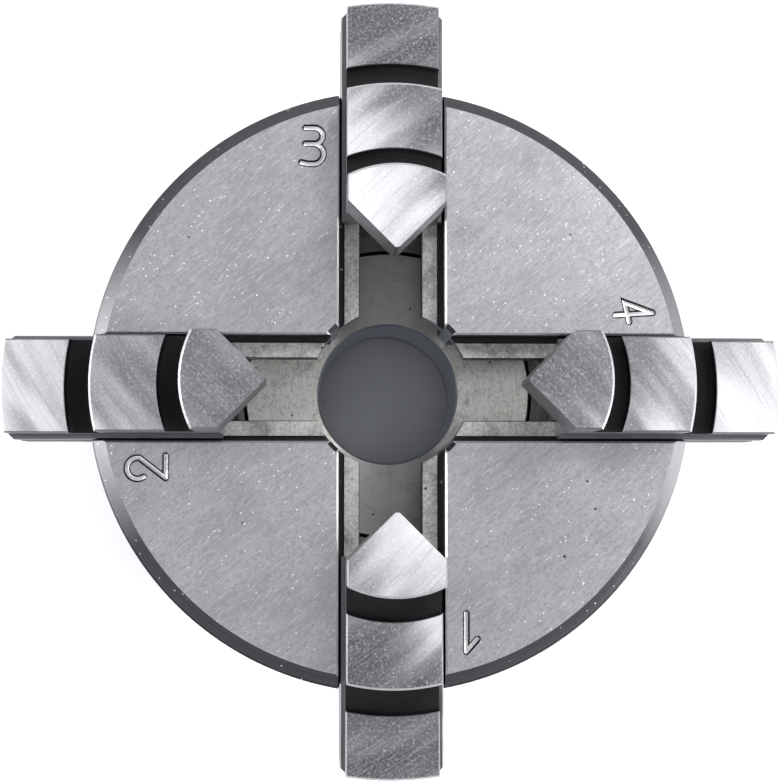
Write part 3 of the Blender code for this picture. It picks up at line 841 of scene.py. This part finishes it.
def step_cutter():
    """All that is ground away round one axis: two steps with relief grooves, and the back."""
    inner, middle, outer = STEP_RADII
    middle_start, outer_start = STEP_STARTS
    middle_top, outer_top = STEP_TOPS
    far = outer + 10.0 * OVERSHOOT
    above = JAW_TOP + OVERSHOOT
    below = JAW_UNDERSIDE - OVERSHOOT
    profile = [(inner - JAW_STEP_EDGE - OVERSHOOT, above), (inner, JAW_TOP - JAW_STEP_EDGE)]
    profile += relief_floor(inner, middle_start, middle_top)
    profile += step_top(middle_start, middle, middle_top)
    profile += relief_floor(middle, outer_start, outer_top)
    profile += step_top(outer_start, outer, outer_top)
    profile += [(outer, below), (far, below), (far, above)]
    place = Matrix.Translation((-JAW_TIP_TO_GRIND_AXIS, 0.0, 0.0))
    return turned_mesh("steps", profile, JAW_STEPS, place)


def side_edge_cutter():
    """Breaks the long edges of the two lower steps."""
    bm = bmesh.new()
    reach = JAW_EDGE + OVERSHOOT
    starts = [math.sqrt(start**2 - JAW_HALF**2) - JAW_TIP_TO_GRIND_AXIS for start in STEP_STARTS]
    ends = (STEP_RADII[1] - JAW_TIP_TO_GRIND_AXIS + OVERSHOOT, JAW_LENGTH + OVERSHOOT)
    for start, end, top in zip(starts, ends, STEP_TOPS):
        for side in (-1.0, 1.0):
            outline = [
                (side * (JAW_HALF - JAW_EDGE - OVERSHOOT), top + OVERSHOOT),
                (side * (JAW_HALF + OVERSHOOT), top - JAW_EDGE - OVERSHOOT),
                (side * (JAW_HALF + reach), top + reach),
            ]
            add_prism(bm, outline, start - GAP, end, ALONG_X)
    return mesh_of(bm, "side_edges")


def back_corner_cutter():
    bm = bmesh.new()
    back = math.sqrt(STEP_RADII[2]**2 - JAW_FLANGE_HALF**2) - JAW_TIP_TO_GRIND_AXIS
    for side in (-1.0, 1.0):
        outline = [
            (back - JAW_END_CORNER - OVERSHOOT, side * (JAW_FLANGE_HALF + OVERSHOOT)),
            (back + OVERSHOOT, side * (JAW_FLANGE_HALF - JAW_END_CORNER - OVERSHOOT)),
            (back + 4.0 * OVERSHOOT, side * (JAW_FLANGE_HALF + 4.0 * OVERSHOOT)),
        ]
        add_prism(bm, outline, JAW_UNDERSIDE - OVERSHOOT, JAW_TOP)
    return mesh_of(bm, "back_corners")


def tooth_outline(centre):
    """A crescent: its outer arc is tighter than the spiral, and its inner arc is wider."""
    shares = [2.0 * index / ARC_STEPS - 1.0 for index in range(ARC_STEPS + 1)]
    sides = [TOOTH_HALF_WIDTH * share for share in shares]
    outer_face = centre + 0.5 * TOOTH_THICKNESS - TOOTH_OUTER_ARC
    inner_face = centre - 0.5 * TOOTH_THICKNESS - TOOTH_INNER_ARC
    outer = [(outer_face + math.sqrt(TOOTH_OUTER_ARC**2 - y * y), y) for y in sides]
    inner = [(inner_face + math.sqrt(TOOTH_INNER_ARC**2 - y * y), y) for y in sides]
    return outer + inner[::-1]


def jaw_teeth(degrees):
    """Teeth stand where the groove crosses this jaw: each jaw's are a quarter pitch further out."""
    half = 0.5 * TOOTH_THICKNESS
    centre = GROOVE_START + SCROLL_PITCH * degrees / 360.0 - JAW_TIP
    while centre - half < JAW_BEAK_LENGTH:
        centre += SCROLL_PITCH
    bm = bmesh.new()
    while centre + 2.0 * half < JAW_LENGTH:
        add_prism(bm, tooth_outline(centre), TOOTH_TIP, JAW_UNDERSIDE + GAP)
        centre += SCROLL_PITCH
    return mesh_of(bm, "teeth")


def jaw_zone(centre, normal):
    radius = math.hypot(centre.x + JAW_TIP_TO_GRIND_AXIS, centre.y)
    levels = (JAW_TOP, *STEP_TOPS)
    if normal.z > 0.99 and min(abs(centre.z - level) for level in levels) < HAIR:
        return "top"
    for inner, start, top in zip(STEP_RADII, STEP_STARTS, STEP_TOPS):
        in_groove = inner - HAIR < radius < start + HAIR
        if in_groove and top - RELIEF_DEPTH - HAIR < centre.z < top - EDGE_BREAK:
            return "groove"
    above_steps = centre.z > STEP_TOPS[1] - 2.0 * JAW_STEP_EDGE
    if above_steps and normal.z > 0.5 and abs(normal.y) < 0.5:
        return "edge"
    if centre.z < JAW_UNDERSIDE + HAIR:
        return "under"
    return "side"


def make_jaws(jaw_finishes):
    for name, degrees in JAW_ANGLES.items():
        base = prism_mesh(name, jaw_outline(), 0.0, JAW_LENGTH + OVERSHOOT, ALONG_X)
        cutters = [beak_cutter(), underbeak_cutter(), step_cutter()]
        cutters += [side_edge_cutter(), back_corner_cutter()]
        mesh = carved(base, cutters, [jaw_teeth(degrees)])
        place = at_polar(JAW_TIP, degrees)
        add_piece(name, mesh, place, name, jaw_zone, jaw_finishes(name))


# Finishes.


class Finish:
    """A surface whose colour, roughness and relief are patterns in the piece's own space, in mm."""

    def __init__(self, name, colour, roughness, metallic=1.0, anisotropic=0.0):
        self.material = bpy.data.materials.new(name)
        self.material.use_nodes = True
        self.tree = self.material.node_tree
        self.shader = self.tree.nodes["Principled BSDF"]
        self.shader.inputs["Metallic"].default_value = metallic
        self.shader.inputs["Base Color"].default_value = (*colour, 1.0)
        self.shader.inputs["Roughness"].default_value = roughness
        self.coordinates = self.tree.nodes.new("ShaderNodeTexCoord").outputs["Object"]
        if anisotropic:
            self.turn_highlights(anisotropic)

    def turn_highlights(self, amount):
        """Grooves round Z spread a highlight along the radius."""
        tangent = self.tree.nodes.new("ShaderNodeTangent")
        tangent.direction_type = "RADIAL"
        tangent.axis = "Z"
        self.shader.inputs["Anisotropic"].default_value = amount
        self.shader.inputs["Anisotropic Rotation"].default_value = 0.25
        self.tree.links.new(tangent.outputs[0], self.shader.inputs["Tangent"])

    def node(self, kind, **settings):
        made = self.tree.nodes.new(kind)
        for key, value in settings.items():
            setattr(made, key, value)
        return made

    def put(self, socket, value):
        """Links a pattern to a socket, or sets a plain value there."""
        if isinstance(value, bpy.types.NodeSocket):
            self.tree.links.new(value, socket)
        else:
            socket.default_value = value

    def feed(self, node, **values):
        """Fills a node's inputs. A name's underscores stand for spaces."""
        for key, value in values.items():
            self.put(node.inputs[key.replace("_", " ")], value)
        return node

    def math(self, operation, first, second=0.0):
        node = self.node("ShaderNodeMath", operation=operation)
        for socket, value in zip(node.inputs, (first, second)):
            self.put(socket, value)
        return node.outputs[0]

    def noise(self, vector, detail=3.0, seed=0.0):
        """Noise about 0.5, with a cell of about one unit."""
        node = self.node("ShaderNodeTexNoise", noise_dimensions="4D")
        self.feed(node, Vector=vector, W=seed, Scale=1.0, Detail=detail, Roughness=0.6)
        return node.outputs["Fac"]

    def stretched(self, size, degrees=0.0):
        """The piece's space turned about Z and then divided by a size along each axis."""
        node = self.node("ShaderNodeMapping", vector_type="TEXTURE")
        turned = (0.0, 0.0, math.radians(degrees))
        scale = [side * MM for side in size]
        return self.feed(node, Vector=self.coordinates, Rotation=turned, Scale=scale).outputs[0]

    def grain(self, length, width, degrees=0.0, detail=3.0, seed=0.0):
        """Streaks that run at an angle to X in plan."""
        return self.noise(self.stretched((length, width, width), degrees), detail, seed)

    def blotches(self, size, detail=2.0, seed=0.0):
        return self.noise(self.stretched((size, size, size)), detail, seed)

    def around(self, centre=(0.0, 0.0)):
        """X, Y and distance from an upright line through the centre."""
        parts = self.feed(self.node("ShaderNodeSeparateXYZ"), Vector=self.coordinates)
        x, y = (
            self.math("SUBTRACT", parts.outputs[axis], middle * MM)
            for axis, middle in zip(("X", "Y"), centre)
        )
        squares = self.math("ADD", self.math("MULTIPLY", x, x), self.math("MULTIPLY", y, y))
        return x, y, self.math("MAXIMUM", self.math("SQRT", squares), MM)

    def arcs(self, width, length, centre=(0.0, 0.0), reach=50.0, detail=2.0, seed=0.0):
        """Fine marks along circles about a centre, each as long as stated where reach away."""
        x, y, radius = self.around(centre)
        joined = self.node("ShaderNodeCombineXYZ")
        along = reach / length
        self.feed(
            joined,
            X=self.math("DIVIDE", radius, width * MM),
            Y=self.math("MULTIPLY", self.math("DIVIDE", x, radius), along),
            Z=self.math("MULTIPLY", self.math("DIVIDE", y, radius), along),
        )
        return self.noise(joined.outputs[0], detail, seed)

    def beside_x(self):
        """1 along the X axis and 0 along the Y axis, whatever the distance."""
        x, _, radius = self.around()
        return self.math("POWER", self.math("DIVIDE", x, radius), 2.0)

    def slope(self, degrees, low, high):
        """Rises from 0 to 1 along a direction in plan, between two distances from the origin."""
        parts = self.node("ShaderNodeSeparateXYZ")
        self.feed(parts, Vector=self.stretched((1.0, 1.0, 1.0), degrees))
        return self.between(parts.outputs["X"], low, high)

    def specks(self, size, share, seed=0.0):
        """1 in scattered small spots that take up about the stated share of their cells."""
        node = self.node("ShaderNodeTexVoronoi", voronoi_dimensions="4D")
        self.feed(node, Vector=self.stretched((size, size, size)), W=seed, Scale=1.0)
        near = self.between(node.outputs["Distance"], 0.26, 0.16)
        parts = self.feed(self.node("ShaderNodeSeparateColor"), Color=node.outputs["Color"])
        chosen = self.math("LESS_THAN", parts.outputs[0], share)
        return self.math("MULTIPLY", near, chosen)

    def between(self, value, low, high, to_low=0.0, to_high=1.0):
        """Stretches low..high to to_low..to_high, and holds what lies outside."""
        node = self.node("ShaderNodeMapRange")
        self.feed(node, Value=value, From_Min=low, From_Max=high, To_Min=to_low, To_Max=to_high)
        return node.outputs["Result"]

    def tint(self, pattern, colour):
        """Lays a colour over what is there, as strongly as the pattern says."""
        base = self.shader.inputs["Base Color"]
        mix = self.node("ShaderNodeMix", data_type="RGBA")
        factor, under, over = mix.inputs[0], mix.inputs[6], mix.inputs[7]
        self.tree.links.new(pattern, factor)
        under.default_value = base.default_value
        if base.is_linked:
            self.tree.links.new(base.links[0].from_socket, under)
        over.default_value = (*colour, 1.0)
        self.tree.links.new(mix.outputs[2], base)
        return self

    def shade(self, pattern, low, high, strength, colour):
        """Lays a colour over, up to a strength, as the pattern goes from low to high."""
        return self.tint(self.between(pattern, low, high, 0.0, strength), colour)

    def polish(self, pattern, low, high):
        """Roughness from low to high as the pattern goes from 0.3 to 0.7."""
        rough = self.between(pattern, 0.3, 0.7, low, high)
        self.tree.links.new(rough, self.shader.inputs["Roughness"])
        return self

    def roughen(self, pattern, amount):
        """Adds to the roughness where the pattern is high."""
        rough = self.shader.inputs["Roughness"]
        under = rough.links[0].from_socket if rough.is_linked else rough.default_value
        more = self.math("ADD", under, self.math("MULTIPLY", pattern, amount))
        self.tree.links.new(more, rough)
        return self

    def emboss(self, pattern, depth):
        """Relief that rises by depth where the pattern rises by 1."""
        normal = self.shader.inputs["Normal"]
        bump = self.node("ShaderNodeBump")
        self.feed(bump, Height=pattern, Distance=depth * MM, Strength=1.0)
        if normal.is_linked:
            self.tree.links.new(normal.links[0].from_socket, bump.inputs["Normal"])
        self.tree.links.new(bump.outputs[0], normal)
        return self


def ground_face():
    """The front: ground on the slant, with handling scratches, bright specks and tiny pits."""
    steel = Finish("ground_face", (0.7, 0.7, 0.71), 0.34)
    fine = steel.grain(2.2, 0.3, 42.0, seed=1.0)
    coarse = steel.grain(9.0, 0.9, 38.0, seed=2.0)
    clouds = steel.blotches(20.0, seed=3.0)
    mottle = steel.blotches(0.55, 3.0, seed=6.0)
    steel.shade(clouds, 0.46, 0.74, 0.8, (0.36, 0.36, 0.375))
    steel.shade(coarse, 0.52, 0.8, 0.6, (0.36, 0.36, 0.375))
    steel.shade(mottle, 0.46, 0.7, 0.7, (0.42, 0.42, 0.435))
    steel.shade(fine, 0.52, 0.76, 0.9, (0.86, 0.86, 0.87))
    grit = steel.specks(0.75, 0.38, 4.0)
    steel.tint(grit, (0.98, 0.98, 0.99))
    steel.tint(steel.specks(1.6, 0.012, 5.0), (0.06, 0.055, 0.05))
    steel.polish(clouds, 0.3, 0.42)
    steel.roughen(steel.between(fine, 0.58, 0.76), 0.1)
    steel.roughen(grit, 0.13)
    steel.emboss(fine, 0.012)
    steel.emboss(grit, -0.02)
    return steel


def turned_chamfer():
    # Painted reflection: the chamfer is coloured nearly black, as of dark surroundings, and lighter
    # to the left and right, along X, as of the side softboxes.
    steel = Finish("turned_chamfer", (0.045, 0.045, 0.05), 0.28, anisotropic=0.5)
    marks = steel.arcs(0.35, 60.0, seed=11.0)
    steel.shade(marks, 0.45, 0.8, 0.6, (0.11, 0.11, 0.12))
    steel.shade(steel.beside_x(), 0.72, 0.97, 1.0, (0.26, 0.26, 0.27))
    steel.tint(steel.specks(0.8, 0.15, 12.0), (0.75, 0.75, 0.76))
    return steel.polish(marks, 0.27, 0.4).emboss(marks, 0.006)


def turned_side():
    """The outside: turned, so its marks run round and change along Z."""
    steel = Finish("turned_side", (0.27, 0.27, 0.28), 0.34)
    marks = steel.noise(steel.stretched((90.0, 90.0, 0.28)), 3.0, 21.0)
    bands = steel.noise(steel.stretched((300.0, 300.0, 5.0)), 2.0, 22.0)
    stains = steel.blotches(14.0, 4.0, seed=23.0)
    steel.shade(bands, 0.35, 0.7, 0.6, (0.19, 0.19, 0.2))
    steel.shade(marks, 0.45, 0.78, 0.7, (0.42, 0.425, 0.44))
    steel.shade(stains, 0.58, 0.8, 0.6, (0.12, 0.115, 0.11))
    steel.tint(steel.specks(0.8, 0.15, 24.0), (0.8, 0.8, 0.81))
    return steel.polish(marks, 0.28, 0.42).emboss(marks, 0.01)


def broken_edge():
    steel = Finish("broken_edge", (0.66, 0.66, 0.67), 0.42)
    marks = steel.blotches(1.2, 3.0, seed=31.0)
    steel.shade(marks, 0.45, 0.75, 0.5, (0.55, 0.55, 0.56))
    return steel.polish(marks, 0.34, 0.5)


def milled_slot():
    """Slot walls: dark, oily and milled along the slot."""
    steel = Finish("milled_slot", (0.06, 0.06, 0.063), 0.45)
    marks = steel.noise(steel.stretched((7.0, 7.0, 0.5)), 3.0, 41.0)
    steel.shade(marks, 0.5, 0.8, 0.6, (0.14, 0.14, 0.145))
    steel.tint(steel.specks(1.5, 0.15, 42.0), (0.4, 0.4, 0.4))
    return steel.polish(marks, 0.38, 0.55).emboss(marks, 0.01)


def milled_rib():
    """Guide ribs: a matt light grey, stained and scuffed by the jaws."""
    steel = Finish("milled_rib", (0.7, 0.69, 0.67), 0.48)
    stains = steel.blotches(5.0, 4.0, seed=51.0)
    scuffs = steel.blotches(0.7, 3.0, seed=52.0)
    steel.shade(stains, 0.46, 0.66, 0.85, (0.22, 0.215, 0.21))
    steel.shade(scuffs, 0.5, 0.66, 0.7, (0.34, 0.335, 0.33))
    steel.shade(scuffs, 0.44, 0.32, 0.7, (0.92, 0.91, 0.89))
    steel.tint(steel.specks(1.8, 0.12, 53.0), (0.05, 0.05, 0.05))
    return steel.polish(scuffs, 0.42, 0.58).emboss(scuffs, 0.02)


def turned_hub():
    """The hub's face: turned rings, with a painted highlight to the left and right and painted
    shade above and below.
    """
    steel = Finish("turned_hub", (0.98, 0.95, 0.89), 0.42, anisotropic=0.85)
    steel.shade(steel.beside_x(), 0.75, 0.35, 1.0, (0.46, 0.45, 0.44))
    rings = steel.arcs(0.4, 12.0, seed=61.0)
    mottle = steel.blotches(0.7, 3.0, seed=64.0)
    stains = steel.blotches(4.0, 4.0, seed=62.0)
    steel.shade(rings, 0.5, 0.72, 0.45, (0.36, 0.345, 0.32))
    steel.shade(mottle, 0.5, 0.68, 0.6, (0.42, 0.39, 0.34))
    steel.shade(stains, 0.56, 0.76, 0.7, (0.24, 0.22, 0.2))
    steel.tint(steel.specks(1.6, 0.1, 63.0), (0.07, 0.06, 0.05))
    return steel.polish(rings, 0.36, 0.5).emboss(rings, 0.012)


def bored_hole():
    steel = Finish("bored_hole", (0.6, 0.63, 0.68), 0.38)
    marks = steel.noise(steel.stretched((60.0, 60.0, 0.3)), 3.0, 71.0)
    steel.shade(marks, 0.45, 0.8, 0.5, (0.76, 0.79, 0.84))
    return steel.polish(marks, 0.28, 0.42).emboss(marks, 0.006)


def turned_rear():
    steel = Finish("turned_rear", (0.5, 0.505, 0.52), 0.34, anisotropic=0.6)
    rings = steel.arcs(0.45, 120.0, seed=81.0)
    bands = steel.arcs(6.0, 400.0, seed=82.0)
    steel.shade(rings, 0.42, 0.78, 0.6, (0.34, 0.34, 0.355))
    steel.shade(bands, 0.45, 0.7, 0.4, (0.66, 0.66, 0.67))
    steel.tint(steel.specks(0.8, 0.15, 83.0), (0.82, 0.82, 0.83))
    return steel.polish(rings, 0.28, 0.42).emboss(rings, 0.012)


def turned_cover():
    steel = Finish("turned_cover", (0.4, 0.405, 0.42), 0.36, anisotropic=0.6)
    rings = steel.arcs(0.6, 90.0, seed=91.0)
    stains = steel.blotches(16.0, 4.0, seed=92.0)
    steel.shade(rings, 0.42, 0.78, 0.7, (0.58, 0.58, 0.59))
    steel.shade(stains, 0.5, 0.75, 0.5, (0.26, 0.255, 0.25))
    return steel.polish(rings, 0.28, 0.44).emboss(rings, 0.015)


def machined_inside():
    """Cavity and drilled holes: dull machined iron with a film of oil."""
    steel = Finish("machined_inside", (0.17, 0.165, 0.165), 0.45)
    marks = steel.blotches(2.0, 4.0, seed=101.0)
    steel.shade(marks, 0.45, 0.75, 0.6, (0.28, 0.275, 0.27))
    return steel.polish(marks, 0.38, 0.55).emboss(marks, 0.02)


def engraved_floor():
    steel = Finish("engraved_floor", (0.97, 0.97, 0.97), 0.45)
    marks = steel.blotches(0.5, 3.0, seed=111.0)
    steel.shade(marks, 0.55, 0.75, 0.6, (0.3, 0.3, 0.3))
    return steel.polish(marks, 0.36, 0.56)


def engraved_wall_shade():
    """The sides of the numbers' strokes: painted shade, near black in the engraving's creases."""
    steel = Finish("engraved_wall_shade", (0.05, 0.05, 0.05), 0.5)
    marks = steel.blotches(0.6, 3.0, seed=113.0)
    steel.shade(marks, 0.5, 0.75, 0.5, (0.25, 0.25, 0.25))
    return steel.polish(marks, 0.42, 0.6)


def scroll_steel():
    steel = Finish("scroll_steel", (0.22, 0.22, 0.225), 0.38, anisotropic=0.4)
    rings = steel.arcs(0.4, 40.0, seed=121.0)
    film = steel.blotches(5.0, 3.0, seed=122.0)
    steel.shade(rings, 0.45, 0.8, 0.6, (0.38, 0.38, 0.385))
    steel.shade(film, 0.52, 0.75, 0.6, (0.11, 0.1, 0.085))
    return steel.polish(film, 0.46, 0.28).emboss(rings, 0.01)


def pinion_steel():
    """Hardened and ground, with turning rings on the end round the key socket."""
    steel = Finish("pinion_steel", (0.38, 0.38, 0.39), 0.34, anisotropic=0.4)
    rings = steel.arcs(0.35, 20.0, seed=131.0)
    stains = steel.blotches(4.0, 4.0, seed=132.0)
    steel.shade(rings, 0.42, 0.78, 0.6, (0.56, 0.56, 0.565))
    steel.shade(stains, 0.52, 0.75, 0.6, (0.2, 0.195, 0.19))
    return steel.polish(rings, 0.28, 0.42).emboss(rings, 0.01)


def socket_steel():
    """Broached key socket, dark and worn bright along its length."""
    steel = Finish("socket_steel", (0.12, 0.12, 0.125), 0.42)
    marks = steel.noise(steel.stretched((0.4, 0.4, 9.0)), 3.0, 141.0)
    steel.shade(marks, 0.5, 0.8, 0.7, (0.34, 0.34, 0.345))
    return steel.polish(marks, 0.34, 0.5).emboss(marks, 0.01)


def black_screw():
    """Black oxide that has worn through in small spots."""
    steel = Finish("black_screw", (0.035, 0.035, 0.04), 0.4, metallic=0.7)
    marks = steel.blotches(1.0, 4.0, seed=151.0)
    steel.shade(marks, 0.6, 0.78, 0.8, (0.2, 0.195, 0.19))
    return steel.polish(marks, 0.32, 0.5).emboss(marks, 0.01)


def jaw_top(seed, bright_way, dark_end, bright_end):
    """Step tops: a cup wheel left long curved streaks, on the slant; a painted sheen brightens one
    end.
    """
    steel = Finish("jaw_top", (0.27, 0.275, 0.29), 0.3)
    slant = math.radians(38.0)
    sweep = 95.0
    middle = 26.0
    centre = (middle - sweep * math.cos(slant), -sweep * math.sin(slant))
    long_marks = steel.arcs(0.45, 14.0, centre, sweep, 3.0, seed)
    fine_marks = steel.arcs(0.16, 7.0, centre, sweep, 2.0, seed + 1.0)
    sheen = steel.arcs(6.0, 30.0, centre, sweep, 1.0, seed + 2.0)
    mottle = steel.blotches(0.55, 3.0, seed + 7.0)
    steel.shade(mottle, 0.48, 0.36, 0.7, (0.14, 0.14, 0.155))
    steel.shade(mottle, 0.52, 0.66, 0.8, (0.72, 0.725, 0.74))
    # Painted sheen: the colour brightens along the jaw's own direction and in broad streaks, and
    # the roughness follows it.
    painted_sheen_slope = steel.slope(bright_way, dark_end, bright_end)
    painted_sheen_streaks = steel.math("ADD", painted_sheen_slope, steel.between(sheen, 0.35, 0.65, -0.15, 0.25))
    steel.shade(painted_sheen_streaks, 0.0, 1.0, 1.0, (0.98, 0.98, 0.985))
    steel.shade(long_marks, 0.54, 0.76, 0.45, (0.24, 0.245, 0.26))
    steel.shade(fine_marks, 0.52, 0.76, 0.6, (0.97, 0.97, 0.97))
    grit = steel.specks(0.65, 0.3, seed + 3.0)
    steel.tint(grit, (0.98, 0.98, 0.98))
    steel.polish(painted_sheen_streaks, 0.24, 0.52)
    steel.roughen(grit, 0.1)
    steel.emboss(long_marks, 0.01)
    steel.emboss(fine_marks, 0.004)
    return steel


def jaw_side(seed):
    """Flanks, flanges and the back: ground, darker, and stained with oil."""
    steel = Finish("jaw_side", (0.2, 0.2, 0.21), 0.36)
    marks = steel.grain(12.0, 0.35, seed=seed)
    stains = steel.blotches(7.0, 4.0, seed=seed + 1.0)
    steel.shade(marks, 0.48, 0.8, 0.7, (0.38, 0.385, 0.395))
    steel.shade(stains, 0.52, 0.75, 0.6, (0.1, 0.1, 0.105))
    return steel.polish(marks, 0.3, 0.46).emboss(marks, 0.008)


def jaw_edge(seed):
    steel = Finish("jaw_edge", (0.45, 0.45, 0.46), 0.34)
    marks = steel.blotches(1.5, 3.0, seed=seed)
    steel.shade(marks, 0.48, 0.75, 0.6, (0.6, 0.6, 0.61))
    return steel.polish(marks, 0.28, 0.44)


def black_groove(seed):
    """Relief grooves keep the black oxide that the grinding took off elsewhere."""
    steel = Finish("black_groove", (0.008, 0.008, 0.009), 0.55, metallic=0.0)
    marks = steel.blotches(0.8, 4.0, seed=seed)
    steel.shade(marks, 0.62, 0.8, 0.5, (0.035, 0.03, 0.028))
    steel.shader.inputs["Specular IOR Level"].default_value = 0.2
    return steel.polish(marks, 0.45, 0.65).emboss(marks, 0.01)


def jaw_finishes(name):
    """Each jaw's own marks: the pattern moves on from jaw to jaw."""
    seed = 200.0 + 10.0 * int(name[-1])
    return {
        "top": jaw_top(seed, *JAW_SHEEN[name]),
        "edge": jaw_edge(seed + 4.0),
        "groove": black_groove(seed + 5.0),
        "side": jaw_side(seed + 6.0),
        "under": jaw_side(seed + 8.0),
    }


def body_finishes():
    return {
        "face": ground_face(),
        "chamfer": turned_chamfer(),
        "side": turned_side(),
        "edge": broken_edge(),
        "slot": milled_slot(),
        "rib": milled_rib(),
        "hub": turned_hub(),
        "bore": bored_hole(),
        "rear": turned_rear(),
        "engraved_floor": engraved_floor(),
        "engraved_wall_shade": engraved_wall_shade(),
        "inside": machined_inside(),
    }


# Studio.


def make_floor():
    bm = bmesh.new()
    bmesh.ops.create_grid(bm, x_segments=1, y_segments=1, size=0.5 * FLOOR_SIZE)
    floor = add_object("floor", mesh_of(bm, "floor"))
    floor.location.z = -FLOOR_DROP
    paper = Finish("floor", (0.88, 0.88, 0.885), 0.9, metallic=0.0)
    paper.shade(paper.blotches(400.0), 0.3, 0.7, 1.0, (0.86, 0.86, 0.865))
    # Painted light: beyond the chuck the floor glows, which washes out the shadows round it.
    paper.shader.inputs["Emission Color"].default_value = (1.0, 1.0, 1.0, 1.0)
    floor_painted_glow = paper.between(paper.around()[2], *FLOOR_GLOW_RADII, 0.0, FLOOR_GLOW)
    paper.tree.links.new(floor_painted_glow, paper.shader.inputs["Emission Strength"])
    floor.data.materials.append(paper.material)


def make_world():
    """Soft light from all round, brighter along the horizon than above."""
    world = bpy.data.worlds.new("studio")
    bpy.context.scene.world = world
    world.use_nodes = True
    nodes, links = world.node_tree.nodes, world.node_tree.links
    parts = nodes.new("ShaderNodeSeparateXYZ")
    links.new(nodes.new("ShaderNodeTexCoord").outputs["Generated"], parts.inputs[0])
    ramp = nodes.new("ShaderNodeValToRGB")
    low, high = ramp.color_ramp.elements
    low.position, low.color = SKY_LOW
    high.position, high.color = SKY_HIGH
    links.new(parts.outputs["Z"], ramp.inputs[0])
    links.new(ramp.outputs[0], nodes["Background"].inputs["Color"])


def add_softbox(name, place, width, height, power):
    light = bpy.data.lights.new(name, "AREA")
    light.shape = "RECTANGLE"
    light.size = width
    light.size_y = height
    light.energy = power
    softbox = add_object(name, light)
    softbox.location = place
    aim = Vector((0.0, 0.0, BODY_HEIGHT)) - softbox.location
    softbox.rotation_mode = "QUATERNION"
    softbox.rotation_quaternion = aim.to_track_quat("-Z", "Y")


def make_lights():
    for name, (place, width, height, power) in SOFTBOXES.items():
        add_softbox(name, place, width, height, power)


def make_camera():
    camera = add_object("camera", bpy.data.cameras.new("camera"))
    camera.data.lens = CAMERA_LENS
    camera.data.sensor_width = SENSOR_WIDTH
    camera.location = CAMERA_PLACE
    view = (CAMERA_AIM - CAMERA_PLACE).normalized()
    right = view.cross(Vector((0.0, 1.0, 0.0))).normalized()
    up = right.cross(view)
    camera.rotation_mode = "QUATERNION"
    camera.rotation_quaternion = Matrix((right, up, -view)).transposed().to_quaternion()
    bpy.context.scene.camera = camera
    bpy.context.scene.view_settings.view_transform = "Standard"


def main():
    screw = {"screw": black_screw()}
    make_body(body_finishes())
    make_scroll({"scroll": scroll_steel()})
    make_rear_cover({"cover": turned_cover()})
    make_cover_screws(screw)
    make_pinion_retainers(screw)
    make_pinions({"journal": pinion_steel(), "socket": socket_steel()})
    make_jaws(jaw_finishes)
    make_floor()
    make_world()
    make_lights()
    make_camera()


main()
